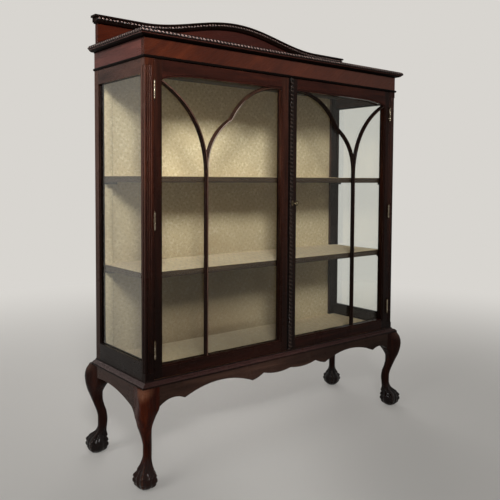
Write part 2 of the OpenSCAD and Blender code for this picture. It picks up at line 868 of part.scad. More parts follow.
module right_glass() {
    color("#c8d8d0", 0.35)
        span(open_in - glass_lap + side_slip, open_out + glass_lap - side_slip, door_glass_y, door_bead_y,
            open_z0 - glass_lap, open_z1 + glass_lap - side_slip);
}

module left_glass() {
    mirror([1, 0, 0]) right_glass();
}

// The four beads that hold the glass in the back of the door
module right_glass_beads() {
    x0 = open_in - glass_lap;
    x1 = open_out + glass_lap;
    z0 = open_z0 - glass_lap;
    z1 = open_z1 + glass_lap;
    color("#3c1d17") {
        span(x0, open_in, door_bead_y, door_back, z0, z1);
        span(open_out, x1, door_bead_y, door_back, z0, z1);
        span(open_in + mitre_gap, open_out - mitre_gap, door_bead_y, door_back, z0, open_z0);
        span(open_in + mitre_gap, open_out - mitre_gap, door_bead_y, door_back, open_z1, z1);
    }
}

module left_glass_beads() {
    mirror([1, 0, 0]) right_glass_beads();
}

// Outline of a strip of width w that follows a line and runs past both of its ends
function ribbon(line, w) =
    let (
        last = len(line) - 1,
        way = function(i) let (d = line[min(last, i + 1)] - line[max(0, i - 1)]) d / norm(d),
        side = function(i) [-way(i)[1], way(i)[0]],
        path = [for (i = [0:last])
            line[i] + (i == 0 ? -way(0) : i == last ? way(last) : [0, 0]) * w / 2]
    )
    concat([for (i = [0:last]) path[i] + side(i) * w / 2],
        [for (i = [last:-1:0]) path[i] - side(i) * w / 2]);

// Centre lines of the branches over the fork, as x and z
function outer_line() = bow([bar_x, fork_z], [open_out, arch_end_z + 2], 46, 14);
cusp = [bar_x - 97, fork_z + 170];
function inner_lines() = [
    bow([bar_x, fork_z], cusp, -28, 9),
    bow(cusp, [open_in, open_z1], -36, 12)];

// Moulded bar: a wide flat and a narrower one on it, along the lines and inside one area
module glazing_bar(lines, x0, x1, z0, z1) {
    mid_y = bar_y + bar_d / 2;
    for (layer = [[bar_w, mid_y, door_glass_y], [bar_w * 0.6, bar_y, mid_y]])
        translate([0, layer[2], 0]) rotate([90, 0, 0]) linear_extrude(layer[2] - layer[1])
            intersection() {
                union() for (line = lines) polygon(ribbon(line, layer[0]));
                polygon(door_opening(0));
                polygon([[x0, z0], [x1, z0], [x1, z1], [x0, z1]]);
            }
}

module right_glazing_bars() {
    color("#2b1410") {
        glazing_bar([[[bar_x, open_z0], [bar_x, fork_z]]], 0, far, 0, fork_z - running);
        glazing_bar([outer_line()], bar_x + running, far, fork_z, far * 2);
        glazing_bar(inner_lines(), 0, bar_x - running, fork_z, far * 2);
    }
}

module left_glazing_bars() {
    mirror([1, 0, 0]) right_glazing_bars();
}

// Bead down the meeting edge of the right door, which hides the gap
module meeting_bead() {
    color("#3a2a2a") translate([door_in, door_face, door_z0]) intersection() {
        linear_extrude(door_z1 - door_z0) polygon(
            bow([meeting_bead_w, 0], [0, 0], meeting_bead_proud, 12));
        translate([0, -far, 0]) cube([meeting_bead_w, 2 * far, far]);
    }
}

// Leaf with its knuckles: the frame's has the two outer ones, the door's the middle one
module hinge_leaf(side, knuckles) {
    x = hinge_x + side * leaf_gap / 2;
    difference() {
        union() {
            span(min(x, x + side * leaf_t), max(x, x + side * leaf_t), leaf_y0, leaf_y0 + leaf_w,
                -hinge_h / 2, hinge_h / 2);
            for (k = knuckles) {
                span(min(x, x + side * leaf_t), max(x, x + side * leaf_t), hinge_y, leaf_y0 + 1, k[0], k[1]);
                translate([hinge_x, hinge_y, k[0]]) cylinder(h = k[1] - k[0], r = knuckle_r);
            }
        }
        translate([hinge_x, hinge_y, -hinge_h]) cylinder(h = 2 * hinge_h, r = pin_r + running);
    }
}

module frame_hinge_leaves() {
    third = hinge_h / 6;
    color("#b9ac86") both_sides() for (z = hinge_zs) translate([0, 0, z])
        hinge_leaf(1, [[-hinge_h / 2, -third - slip / 2], [third + slip / 2, hinge_h / 2]]);
}

module right_door_leaves() {
    third = hinge_h / 6;
    color("#b9ac86") for (z = hinge_zs) translate([0, 0, z])
        hinge_leaf(-1, [[-third + slip / 2, third - slip / 2]]);
}

module left_door_leaves() {
    mirror([1, 0, 0]) right_door_leaves();
}

// Pins with a small ball at each end
module hinge_pins() {
    color("#b9ac86") both_sides() for (z = hinge_zs) translate([hinge_x, hinge_y, z]) {
        cylinder(h = hinge_h + 2, r = pin_r, center = true);
        for (s = [-1, 1]) translate([0, 0, s * (hinge_h / 2 + 2)]) intersection() {
            sphere(r = 2.6, $fn = 32);
            translate([-5, -5, s > 0 ? -2 : -8]) cube(10);
        }
    }
}

// Box of the lock, open on the side where the bolt comes out
module lock_case() {
    color("#9c8550") difference() {
        span(door_in, door_in + lock_w, lock_y0, door_back, key_z - lock_half_h, key_z + lock_half_h);
        span(door_in - 1, door_in + lock_w - lock_wall, bolt_bar_y - slip, bolt_bar_y + bolt_bar_t + slip,
            bolt_bar_z - slip, bolt_bar_z + bolt_bar_h + slip);
        translate([key_x, door_back - lock_wall, key_z]) rotate([90, 0, 0])
            cylinder(h = lock_t - 2 * lock_wall, r = bit_len + 1);
        translate([key_x, door_back - lock_wall, key_z]) rotate([90, 0, 0])
            cylinder(h = door_t, r = key_shank_r + running);
    }
}

// Small oval plate round the keyhole
module escutcheon() {
    color("#a8966a") translate([key_x, door_face, key_z]) rotate([90, 0, 0]) difference() {
        linear_extrude(1) union() {
            circle(r = 5);
            for (s = [-1, 1]) translate([0, s * 6]) circle(r = 3.6);
        }
        translate([0, 0, -1]) cylinder(h = 4, r = keyhole_r);
    }
}

// Key with a shank, a collar, a ring bow and a bit that works the bolt
module key() {
    tip_y = door_back - lock_wall - side_slip;
    color("#a8966a") translate([key_x, 0, key_z]) {
        translate([0, tip_y, 0]) rotate([90, 0, 0])
            cylinder(h = tip_y - door_face + key_out, r = key_shank_r);
        translate([0, door_face - 3, 0]) rotate([90, 0, 0]) cylinder(h = 2, r = collar_r);
        span(-bit_t / 2, bit_t / 2, bolt_bar_y + side_slip, tip_y, -bit_len, 0);
        translate([0, door_face - key_out - key_bow_r + side_slip, 0]) rotate([0, 90, 0])
            rotate_extrude() translate([key_bow_r, 0]) circle(r = key_wire_r);
    }
}

module lock_bolt() {
    color("#9c8550") span(door_in + side_slip, door_in + lock_w - lock_wall - 9.5, bolt_bar_y,
        bolt_bar_y + bolt_bar_t, bolt_bar_z, bolt_bar_z + bolt_bar_h);
}

// Plate with two guides for one inside bolt; z is the middle of its length
module bolt_plate(z) {
    guide_at = (bolt_plate_len - guide_h) / 2 - 1;
    difference() {
        union() {
            span(bolt_x - bolt_plate_w / 2, bolt_x + bolt_plate_w / 2, door_back, door_back + bolt_plate_t,
                z - bolt_plate_len / 2, z + bolt_plate_len / 2);
            for (s = [-1, 1]) span(bolt_x - guide_w / 2, bolt_x + guide_w / 2,
                door_back, bolt_y + bolt_r + guide_wall,
                z + s * guide_at - guide_h / 2, z + s * guide_at + guide_h / 2);
        }
        translate([bolt_x, bolt_y, z - bolt_plate_len])
            cylinder(h = 2 * bolt_plate_len, r = bolt_r + running);
    }
}

top_plate_z = top_bolt_z1 - top_tip - bolt_plate_len / 2;
bottom_plate_z = bottom_bolt_z0 + bottom_tip + bolt_plate_len / 2;

module bolt_plates() {
    color("#9c8550") {
        bolt_plate(top_plate_z);
        bolt_plate(bottom_plate_z);
    }
}

// Round bolt with a knob between its guides
module door_bolt(z0, z1, knob_z) {
    color("#b09a60") {
        translate([bolt_x, bolt_y, z0]) cylinder(h = z1 - z0, r = bolt_r);
        translate([bolt_x, bolt_y, knob_z]) rotate([-90, 0, 0]) cylinder(h = knob_stem, r = knob_stem_r);
        translate([bolt_x, bolt_y + knob_stem + 1, knob_z]) sphere(r = knob_r, $fn = 32);
    }
}

module top_bolt() {
    door_bolt(top_plate_z - bolt_plate_len / 2 - bolt_tail, top_bolt_z1, top_plate_z - bolt_throw / 2);
}

module bottom_bolt() {
    door_bolt(bottom_bolt_z0, bottom_plate_z + bolt_plate_len / 2 + bolt_tail,
        bottom_plate_z + bolt_throw / 2);
}

leg_front_left();
leg_front_right();
leg_back_left();
leg_back_right();
front_apron();
side_aprons();
back_rail();
base_moulding();
bottom_board();
bottom_lining();
front_posts();
back_posts();
side_bottom_rails();
side_top_rails();
side_glasses();
side_glass_beads();
back_panel();
back_lining();
shelf_ledges();
lower_shelf();
upper_shelf();
shelf_linings();
ceiling_board();
frieze_front();
frieze_returns();
frieze_bead();
dust_board();
cornice();
cornice_rope();
gallery_board();
gallery_cap();
gallery_rope();
left_hinge_stile();
left_meeting_stile();
left_top_rail();
left_bottom_rail();
left_glass();
left_glazing_bars();
left_glass_beads();
right_hinge_stile();
right_meeting_stile();
right_top_rail();
right_bottom_rail();
right_glass();
right_glazing_bars();
right_glass_beads();
meeting_bead();
frame_hinge_leaves();
hinge_pins();
left_door_leaves();
right_door_leaves();
lock_case();
escutcheon();
key();
lock_bolt();
bolt_plates();
top_bolt();
bottom_bolt();
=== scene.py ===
"""Looks of a glazed display cabinet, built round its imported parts.

The scene is in metres. The pieces' own sizes are in millimetres, which spot() turns into metres.
"""

import json
import logging
import math
from dataclasses import dataclass, field, replace
from enum import Enum
from typing import Callable, Optional, Sequence, Union

import bpy
from mathutils import Matrix, Vector

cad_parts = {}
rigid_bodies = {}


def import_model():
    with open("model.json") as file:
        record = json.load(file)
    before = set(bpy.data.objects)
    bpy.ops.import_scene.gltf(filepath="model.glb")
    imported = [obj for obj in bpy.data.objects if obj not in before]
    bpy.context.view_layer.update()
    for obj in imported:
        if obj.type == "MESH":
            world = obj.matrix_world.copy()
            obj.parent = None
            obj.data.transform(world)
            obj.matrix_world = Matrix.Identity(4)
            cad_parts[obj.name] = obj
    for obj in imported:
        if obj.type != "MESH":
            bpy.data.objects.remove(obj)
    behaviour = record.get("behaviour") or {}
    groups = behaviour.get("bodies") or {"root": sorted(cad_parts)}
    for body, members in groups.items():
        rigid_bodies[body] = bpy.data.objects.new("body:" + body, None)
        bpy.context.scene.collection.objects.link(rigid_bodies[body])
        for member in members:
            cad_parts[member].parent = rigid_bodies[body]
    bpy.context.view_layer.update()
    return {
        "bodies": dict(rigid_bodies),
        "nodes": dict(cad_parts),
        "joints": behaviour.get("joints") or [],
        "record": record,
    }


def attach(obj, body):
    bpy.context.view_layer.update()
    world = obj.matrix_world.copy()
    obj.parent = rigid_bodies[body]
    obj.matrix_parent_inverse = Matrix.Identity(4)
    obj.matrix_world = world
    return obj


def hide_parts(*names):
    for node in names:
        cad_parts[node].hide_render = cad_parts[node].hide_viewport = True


log = logging.getLogger("display_cabinet")
MM = 0.001
COAT_ROUGHNESS = 0.08
PORE_DEPTH = 0.08 * MM

# A shade has red, green and blue from 0 to 255 as seen on a screen; a colour is linear
Shade = tuple[int, int, int]
Colour = tuple[float, float, float]
Point2 = tuple[float, float]
Curve = tuple[Point2, ...]
Ring = list[Vector]
Skin = tuple[list[Vector], list[list[int]]]
Operand = Union["Signal", float]
Paint = Union["Signal", Shade]


def linear(value: float) -> float:
    """Undoes the screen's curve for one channel of a shade."""
    value /= 255
    return value / 12.92 if value <= 0.04045 else ((value + 0.055) / 1.055) ** 2.4


def opaque(red: int, green: int, blue: int) -> tuple[float, float, float, float]:
    """Gives the linear colour, with alpha, of a shade as seen on a screen."""
    return linear(red), linear(green), linear(blue), 1.0


def spot(x: float, y: float, z: float) -> Vector:
    """Turns a place in millimetres into metres."""
    return Vector((x, y, z)) * MM


class Signal:
    """A socket that Python arithmetic can be done on; each operation adds a Math node."""

    def __init__(self, bench: "Bench", socket: bpy.types.NodeSocket) -> None:
        """Wraps one output socket of a bench's material."""
        self.bench = bench
        self.socket = socket

    def math(self, operation: str, *others: Operand, first: bool = True) -> "Signal":
        """Adds one Math node, with this signal as its first or else its last operand."""
        values = [self, *others] if first else [*others, self]
        return self.bench.node("ShaderNodeMath", {"operation": operation}, dict(enumerate(values)))

    def __add__(self, other: Operand) -> "Signal":
        """self + other."""
        return self.math("ADD", other)

    __radd__ = __add__

    def __mul__(self, other: Operand) -> "Signal":
        """self * other."""
        return self.math("MULTIPLY", other)

    __rmul__ = __mul__

    def __sub__(self, other: Operand) -> "Signal":
        """self - other."""
        return self.math("SUBTRACT", other)

    def __rsub__(self, other: float) -> "Signal":
        """other - self."""
        return self.math("SUBTRACT", other, first=False)

    def __pow__(self, other: Operand) -> "Signal":
        """self ** other."""
        return self.math("POWER", other)

    def between(self, low: float, high: float) -> "Signal":
        """Maps low to 0 and high to 1, smoothly, and holds the rest."""
        return self.bench.node("ShaderNodeMapRange", {"interpolation_type": "SMOOTHSTEP"},
                               {"Value": self, "From Min": low, "From Max": high})


class Bench:
    """Makes the nodes of one material."""

    def __init__(self, name: str, tree: Optional[bpy.types.NodeTree] = None) -> None:
        """Starts an empty material, or clears a tree that is given.

        Args:
            name: The material's name.
            tree: The tree to fill, such as the world's.
        """
        if tree is None:
            self.material = bpy.data.materials.new(name)
            self.material.use_nodes = True
            tree = self.material.node_tree
        self.tree = tree
        self.tree.nodes.clear()

    def node(self, kind: str, settings: Optional[dict] = None, inputs: Optional[dict] = None,
             output: Union[int, str] = 0) -> Signal:
        """Adds one node.

        Args:
            kind: The node's type.
            settings: Its properties; "stops" holds a ramp's positions and shades.
            inputs: Values or signals by socket name or number.
            output: The output to return.

        Returns:
            That output as a signal.
        """
        made = self.tree.nodes.new(kind)
        for key, value in (settings or {}).items():
            if key == "stops":
                self._set_stops(made.color_ramp, value)
            else:
                setattr(made, key, value)
        for key, value in (inputs or {}).items():
            if isinstance(value, Signal):
                self.tree.links.new(value.socket, made.inputs[key])
            else:
                made.inputs[key].default_value = value
        return Signal(self, made.outputs[output] if made.outputs else None)

    @staticmethod
    def _set_stops(ramp: bpy.types.ColorRamp, stops: Sequence[tuple[float, Shade]]) -> None:
        """Fills a colour ramp.

        Args:
            ramp: The ramp.
            stops: Positions and shades, in order.
        """
        while len(ramp.elements) < len(stops):
            ramp.elements.new(1.0)
        for element, (place, paint) in zip(ramp.elements, stops):
            element.position = place
            element.color = opaque(*paint)

    def object_place(self, scale: Sequence[float] = (1, 1, 1), turn: Sequence[float] = (0, 0, 0)
                     ) -> Signal:
        """Gives the place on the object, turned and then scaled along each axis.

        Args:
            scale: Scale along x, y and z.
            turn: Rotation in radians.

        Returns:
            The vector.
        """
        place = self.node("ShaderNodeTexCoord", output="Object")
        turned = self.node("ShaderNodeMapping", None, {"Vector": place, "Rotation": turn})
        return self.node("ShaderNodeVectorMath", {"operation": "MULTIPLY"}, {0: turned, 1: scale})

    def coordinate(self, vector: Signal, axis: str) -> Signal:
        """Gives one coordinate of a vector by its letter."""
        return self.node("ShaderNodeSeparateXYZ", None, {"Vector": vector}, output=axis)

    def noise(self, place: Signal, scale: float, detail: float = 3.0, rough: float = 0.5,
              distortion: float = 0.0) -> Signal:
        """Gives soft noise from 0 to 1; scale is in cells per metre, detail in finer layers."""
        return self.node("ShaderNodeTexNoise", None, {
            "Vector": place, "Scale": scale, "Detail": detail, "Roughness": rough,
            "Distortion": distortion})

    def ramp(self, tone: Signal, *stops: tuple[float, Shade]) -> Signal:
        """Colours a tone by positions and shades, in order."""
        return self.node("ShaderNodeValToRGB", {"stops": stops}, {"Fac": tone})

    def mix(self, share: Operand, first: Paint, second: Paint) -> Signal:
        """Mixes a share of the second paint into the first."""
        ends = [end if isinstance(end, Signal) else opaque(*end) for end in (first, second)]
        return self.node("ShaderNodeMix", {"data_type": "RGBA"},
                         {0: share, 6: ends[0], 7: ends[1]}, output=2)

    def edge(self, radius: float) -> tuple[Signal, Signal]:
        """Finds worn edges.

        Args:
            radius: How far from the edge it reaches.

        Returns:
            The normal rounded at the edges, and a mask that is 1 on them.
        """
        rounded = self.node("ShaderNodeBevel", {"samples": 4}, {"Radius": radius})
        flat = self.node("ShaderNodeNewGeometry", output="Normal")
        along = self.node("ShaderNodeVectorMath", {"operation": "DOT_PRODUCT"},
                          {0: rounded, 1: flat}, output="Value")
        return rounded, (1.0 - along).between(0.01, 0.14)

    def bump(self, height: Signal, distance: float, normal: Optional[Signal] = None) -> Signal:
        """Turns a height into a normal.

        Args:
            height: Height from 0 to 1.
            distance: Height of 1, in metres.
            normal: The normal that it starts from.

        Returns:
            The normal.
        """
        inputs = {"Height": height, "Distance": distance, "Strength": 1.0}
        if normal is not None:
            inputs["Normal"] = normal
        return self.node("ShaderNodeBump", None, inputs)

    def finish(self, surface: Signal) -> bpy.types.Material:
        """Links the surface to the output and returns the material."""
        self.node("ShaderNodeOutputMaterial", None, {"Surface": surface})
        return self.material

    def principled(self, sockets: dict) -> bpy.types.Material:
        """Ends the material in a Principled shader with these sockets and returns it."""
        return self.finish(self.node("ShaderNodeBsdfPrincipled", None, sockets))


class Grain(Enum):
    """The way that the grain runs, as scales that stretch it along that axis."""

    X = (0.07, 1.0, 1.0)
    Y = (1.0, 0.07, 1.0)
    Z = (1.0, 1.0, 0.07)


@dataclass(frozen=True)
class Mahogany:
    """French-polished mahogany with pores, stripe and worn edges.

    Stripe is the share of broad figure, slant turns the grain, and gleam is the bare wood's shine.
    Low shade is painted shade that darkens the wood towards the floor, foot_h is the height of a
    dark carved foot, flank is a painted sheen on faces that look sideways, and the right-end light
    is painted light and reflection on the right-hand end. Gap shadow is how far from the middle the
    painted shadow between the doors reaches, and the painted highlight colours the carving where
    the mesh's painted light is high; where that is low the wood is painted darker as shade.
    """

    name: str
    grain: Grain
    deep: Shade
    body: Shade
    warm: Shade
    polish: float = 0.24
    stripe: float = 0.4
    slant: float = 0.0
    gleam: float = 0.07
    foot_h: float = 0.0
    dim: float = 0.0
    edge_r: float = 1.4 * MM
    coat: float = 0.03
    rubbed: Optional[Shade] = None
    faded: Optional[Shade] = None
    flank: Optional[Shade] = None
    joint: float = 0.0

    def make(self) -> bpy.types.Material:
        """Builds the material.

        Returns:
            The material.
        """
        bench = Bench(self.name)
        turn = (self.slant, 0, 0) if self.grain is Grain.Y else (0, self.slant, 0)
        along = bench.object_place(self.grain.value, turn)
        whole = bench.object_place()
        bands = bench.noise(along, 75, 4, 0.6, 0.3)
        cloud = bench.noise(whole, 5, 3, 0.55)
        tone = (bench.noise(along, 22, 3, 0.55, 0.6) * self.stripe + bands * (0.9 - self.stripe)
                + cloud * 0.1)
        colour = bench.ramp(tone, (0.3, self.deep), (0.5, self.body), (0.72, self.warm))
        pore = bench.noise(along, 620, 2, 0.6).between(0.36, 0.5)
        colour = bench.mix((1 - pore) * 0.45, colour, self.deep)
        coat = self.coat
        if self.foot_h:
            height = bench.coordinate(whole, "Z")
            foot = 1 - height.between(self.foot_h * 0.7, self.foot_h * 1.5)
            colour = bench.mix(foot * 0.8, colour, self.deep)
            coat = foot * 0.35 + self.coat
        colour = self.aged(bench, whole, cloud, colour)
        rounded, worn = bench.edge(self.edge_r)
        scuff = worn * bench.noise(whole, 45, 4, 0.65).between(0.42, 0.62)
        colour = bench.mix(scuff * 0.5, colour, self.warm)
        hands = bench.noise(whole, 9, 5, 0.6).between(0.3, 0.75)
        gloss = self.polish + hands * 0.1 + scuff * 0.14 + (1 - pore) * 0.12
        # Where the mesh's painted light is low the wood is painted darker as shade, in grooves and
        # on the unlit side; where it is high it gets a painted highlight.
        if self.rubbed:
            crown = bench.node("ShaderNodeAttribute", {"attribute_name": "crown"}, output="Fac")
            colour = bench.mix(crown.between(0.0, 0.5) * 0.5 + 0.5, self.deep, colour)
            patchy = bench.noise(whole, 160, 3, 0.6).between(0.25, 0.6)
            colour = bench.mix(crown.between(0.62, 1.0) * (patchy * 0.5 + 0.5), colour, self.rubbed)
        return bench.principled({
            "Base Color": colour, "Roughness": gloss, "Specular IOR Level": self.gleam,
            "Coat Weight": coat, "Coat Roughness": COAT_ROUGHNESS,
            "Normal": bench.bump(pore * 0.6 + bands * 0.4, PORE_DEPTH, rounded)})

    def aged(self, bench: Bench, whole: Signal, cloud: Signal, colour: Signal) -> Signal:
        """Paints light and shade onto the colour by where the wood is and which way it faces.

        Args:
            bench: The material's bench.
            whole: The place on the object.
            cloud: Soft noise that makes the painted light on the right-hand end uneven.
            colour: The colour so far.

        Returns:
            The colour with its painted light and shade.
        """
        # Painted sheen on faces that look sideways.
        if self.flank:
            facing = bench.coordinate(bench.node("ShaderNodeTexCoord", output="Normal"), "X")
            sideways = facing.math("ABSOLUTE").between(0.5, 0.95)
            colour = bench.mix(sideways * 0.55, colour, self.flank)
        # Painted shade, darker towards the floor.
        if self.dim:
            low = 1 - bench.coordinate(whole, "Z").between(0.3, 1.15)
            colour = bench.mix(low * self.dim, colour, self.deep)
        # Painted light and reflection on the right-hand end.
        if self.faded:
            across = bench.coordinate(whole, "X") + cloud * 0.3
            colour = bench.mix(across.between(-0.42, 0.1) * 0.6, colour, self.faded)
        # Painted shadow in the gap between the doors.
        if self.joint:
            away = bench.coordinate(whole, "X").math("ABSOLUTE")
            gap_shade = 1 - away.between(self.joint * 0.6, self.joint)
            colour = bench.mix(gap_shade * 0.9, colour, (3, 2, 2))
        return colour


@dataclass(frozen=True)
class FlameVeneer:
    """Crotch-figured veneer with slanting flames and painted light towards its right-hand end."""

    name: str
    deep: Shade = (42, 15, 8)
    body: Shade = (59, 23, 11)
    flame: Shade = (79, 33, 15)
    faded: Shade = (104, 62, 50)

    def make(self) -> bpy.types.Material:
        """Builds the material.

        Returns:
            The material.
        """
        bench = Bench(self.name)
        flames = bench.noise(bench.object_place((1, 1, 0.14), (0, -0.85, 0)), 40, 4, 0.55, 0.4)
        clouds = bench.noise(bench.object_place((1, 1, 1.6)), 6, 3, 0.5, 0.7)
        pores = bench.noise(bench.object_place((1, 1, 0.08), (0, -1.1, 0)), 520, 2, 0.6)
        colour = bench.ramp(flames * 0.55 + clouds * 0.45,
                            (0.32, self.deep), (0.5, self.body), (0.7, self.flame))
        # Painted light, lighter towards the right-hand end.
        across = bench.coordinate(bench.object_place(), "X")
        colour = bench.mix(across.between(-0.5, 0.6) * 0.5, colour, self.faded)
        pore = pores.between(0.34, 0.5)
        colour = bench.mix((1 - pore) * 0.3, colour, self.deep)
        rounded, worn = bench.edge(1.4 * MM)
        return bench.principled({
            "Base Color": bench.mix(worn * 0.4, colour, self.flame),
            "Roughness": 0.2 + flames * 0.12 + (1 - pore) * 0.1, "Specular IOR Level": 0.14,
            "Coat Weight": 0.05, "Coat Roughness": COAT_ROUGHNESS,
            "Normal": bench.bump(pore, PORE_DEPTH, rounded)})


@dataclass(frozen=True)
class PlainBoard:
    """Stained, unpolished wood of the hidden boards."""

    name: str
    grain: Grain
    dark: Shade = (62, 38, 24)
    light: Shade = (116, 78, 50)

    def make(self) -> bpy.types.Material:
        """Builds the material.

        Returns:
            The material.
        """
        bench = Bench(self.name)
        along = bench.object_place(self.grain.value)
        grain = bench.noise(along, 48, 5, 0.62, 0.8)
        fine = bench.noise(along, 420, 3, 0.6)
        stain = bench.noise(bench.object_place(), 4, 4, 0.6)
        colour = bench.ramp(grain * 0.6 + fine * 0.2 + stain * 0.2,
                            (0.3, self.dark), (0.7, self.light))
        rounded, worn = bench.edge(1.2 * MM)
        return bench.principled({
            "Base Color": bench.mix(worn * 0.3, colour, self.light),
            "Roughness": 0.62 + stain * 0.2, "Specular IOR Level": 0.3,
            "Normal": bench.bump(grain * 0.5 + fine * 0.5, 0.2 * MM, rounded)})


@dataclass(frozen=True)
class Damask:
    """Fine pale gold cloth with a small woven sprig, glued flat.

    Painted shade darkens it from the case's floor up to the shade's top, in metres, most in the
    middle.
    """

    name: str
    ground: Shade = (214, 196, 160)
    sprig: Shade = (160, 134, 98)
    light: Shade = (232, 217, 184)
    aged: Shade = (190, 168, 130)
    dusty: Shade = (104, 86, 58)
    dust_top: float = 0.64
    dustiness: float = 0.62

    @staticmethod
    def waves(bench: Bench, ways: str, sockets: dict) -> list[Signal]:
        """Gives one set of waves for each direction that is named by its letter."""
        return [bench.node("ShaderNodeTexWave", {"bands_direction": way, "wave_profile": "SIN"},
                           {"Detail": 1.0, **sockets}) for way in ways]

    def make(self) -> bpy.types.Material:
        """Builds the material.

        Returns:
            The material.
        """
        bench = Bench(self.name)
        whole = bench.object_place()
        slanted = bench.object_place(turn=(0.785, 0.785, 0.785))
        rows = self.waves(bench, "XZ", {
            "Vector": slanted, "Scale": 19.0, "Distortion": 1.6, "Detail Scale": 3.0})
        sprigs = (rows[0] * rows[1]).between(0.5, 0.75)
        ground = bench.noise(slanted, 90, 1, 0.5, 1.0).between(0.3, 0.5)
        threads = self.waves(bench, "XZY", {"Vector": whole, "Scale": 460.0, "Distortion": 0.6})
        weave = threads[0] * 0.4 + threads[1] * 0.3 + threads[2] * 0.3
        cloud = bench.noise(whole, 6, 4, 0.6)
        colour = bench.mix(ground, self.light, self.ground)
        colour = bench.mix(sprigs * 0.3, colour, self.sprig)
        colour = bench.mix(cloud.between(0.45, 0.75) * 0.5, colour, self.aged)
        colour = bench.mix((1 - weave) * 0.16, colour, self.aged)
        # The dust mask is painted shade: darker low in the case and towards its middle, less at
        # both ends.
        across, height = bench.coordinate(whole, "X"), bench.coordinate(whole, "Z")
        dust = ((1 - height.between(0.3, self.dust_top)) * (1 - across.between(-0.1, 0.5) * 0.8)
                * (across.between(-0.5, -0.25) * 0.7 + 0.3))
        colour = bench.mix(dust * self.dustiness, colour, self.dusty)
        return bench.principled({
            "Base Color": colour, "Roughness": 0.86 - sprigs * 0.2, "Specular IOR Level": 0.25,
            "Sheen Weight": 0.2, "Sheen Roughness": 0.45,
            "Normal": bench.bump(weave * 0.5 + sprigs * 0.5, 0.25 * MM)})


@dataclass(frozen=True)
class SheetGlass:
    """Thin old window glass, faintly green, with a patchy film of dust."""

    name: str
    tint: Colour = (0.978, 0.988, 0.978)
    sheen: Colour = (0.96, 0.94, 0.89)
    mirror: float = 0.022

    def make(self) -> bpy.types.Material:
        """Builds the material.

        Returns:
            The material.
        """
        bench = Bench(self.name)
        whole = bench.object_place()
        ripple = bench.bump(bench.noise(whole, 7, 2, 0.5), 0.4 * MM)
        facing = bench.node("ShaderNodeLayerWeight", None, {"Blend": 0.5, "Normal": ripple},
                            output="Facing")
        film = bench.noise(whole, 18, 5, 0.65).between(0.5, 0.8) * 0.01
        clear = bench.node("ShaderNodeBsdfTransparent", None, {"Color": (*self.tint, 1)})
        shine = bench.node("ShaderNodeBsdfPrincipled", None, {
            "Base Color": (*self.sheen, 1), "Metallic": 1.0, "Roughness": 0.03, "Normal": ripple})
        return bench.finish(bench.node("ShaderNodeMixShader", None, {
            0: facing ** 5 * 0.6 + film + self.mirror, 1: clear, 2: shine}))


@dataclass(frozen=True)
class OldBrass:
    """Worn brass with dark patina in the hollows."""

    name: str
    bright: Shade
    dull: Shade
    smooth: float = 0.0

    def make(self) -> bpy.types.Material:
        """Builds the material.

        Returns:
            The material.
        """
        bench = Bench(self.name)
        patina = bench.noise(bench.object_place(), 130, 5, 0.65)
        scratch = bench.noise(bench.object_place((1, 1, 0.08)), 900, 2, 0.5)
        rounded, worn = bench.edge(0.8 * MM)
        clean = patina.between(0.35, 0.7)
        colour = bench.mix(clean, self.dull, self.bright)
        colour = bench.mix(worn * 0.6, colour, self.bright)
        return bench.principled({
            "Base Color": colour, "Metallic": 0.9 + clean * 0.1,
            "Roughness": 0.46 - self.smooth - clean * 0.16 + scratch * 0.1,
            "Normal": bench.bump(scratch * 0.3 + patina * 0.7, PORE_DEPTH, rounded)})


Finish = Union[Mahogany, FlameVeneer, PlainBoard, Damask, SheetGlass, OldBrass]


class Slot(Enum):
    """The record's material slots, passed with the scene's own pieces but not applied to them."""

    MAHOGANY = "mahogany"
    BOARD = "inner_wood"
    LINING = "lining"


class Side(Enum):
    """Left or right as seen from the front, as the sign of x."""

    LEFT = -1
    RIGHT = 1

    @property
    def word(self) -> str:
        """The side as it stands in the names of pieces."""
        return self.name.lower()


@dataclass
class Finishes:
    """Every finish of the cabinet, made once."""

    made: dict[str, bpy.types.Material] = field(default_factory=dict)

    def get(self, finish: Finish) -> bpy.types.Material:
        """Gives the material of a finish, making it at its first use.

        Args:
            finish: The finish.

        Returns:
            The material.
        """
        if finish.name not in self.made:
            self.made[finish.name] = finish.make()
        return self.made[finish.name]


# Frames of the case and doors
ALONG_X = Mahogany("mahogany_along_x", Grain.X, (20, 8, 5), (46, 20, 14), (76, 36, 24), dim=0.6)
# The sides' paler, greyer tones are partly the wood's colour and partly painted sheen.
ALONG_Y = Mahogany("mahogany_along_y", Grain.Y, (36, 22, 18), (70, 46, 38), (98, 66, 56),
                   gleam=0.15, dim=0.6)
# A darker copy for the side bottom rails: painted shade low on the case.
SHADED_SIDE_RAIL = replace(ALONG_Y, name="side_rail_mahogany", deep=(17, 11, 9), body=(34, 23, 19),
                    warm=(52, 36, 30))
UPRIGHT = Mahogany("mahogany_upright", Grain.Z, (14, 6, 4), (37, 16, 10), (63, 31, 20), dim=0.8)
# The meeting stiles carry a painted shadow in the gap between the doors.
LEFT_MEETING = replace(UPRIGHT, name="left_meeting_mahogany", body=(52, 27, 19), warm=(82, 47, 35),
                       joint=8.5 * MM, edge_r=0.5 * MM)
RIGHT_MEETING = replace(UPRIGHT, name="right_meeting_mahogany", deep=(12, 6, 5), body=(30, 15, 11),
                        warm=(50, 28, 20), joint=3 * MM)
# Posts get a painted sheen on faces that look sideways.
POST = Mahogany("post_mahogany", Grain.Z, (16, 6, 4), (48, 20, 12), (82, 40, 22), dim=0.95,
                flank=(98, 70, 60))
# A darker copy for the back posts: painted shade on their faces beside the side glass.
SHADED_BACK_POST = replace(POST, name="back_post_mahogany", deep=(10, 5, 4), body=(26, 13, 9),
                    warm=(46, 25, 17), dim=0.6)
SHELF_X = Mahogany("shelf_mahogany_x", Grain.X, (44, 33, 24), (64, 50, 38), (84, 66, 50),
                   gleam=0.03)

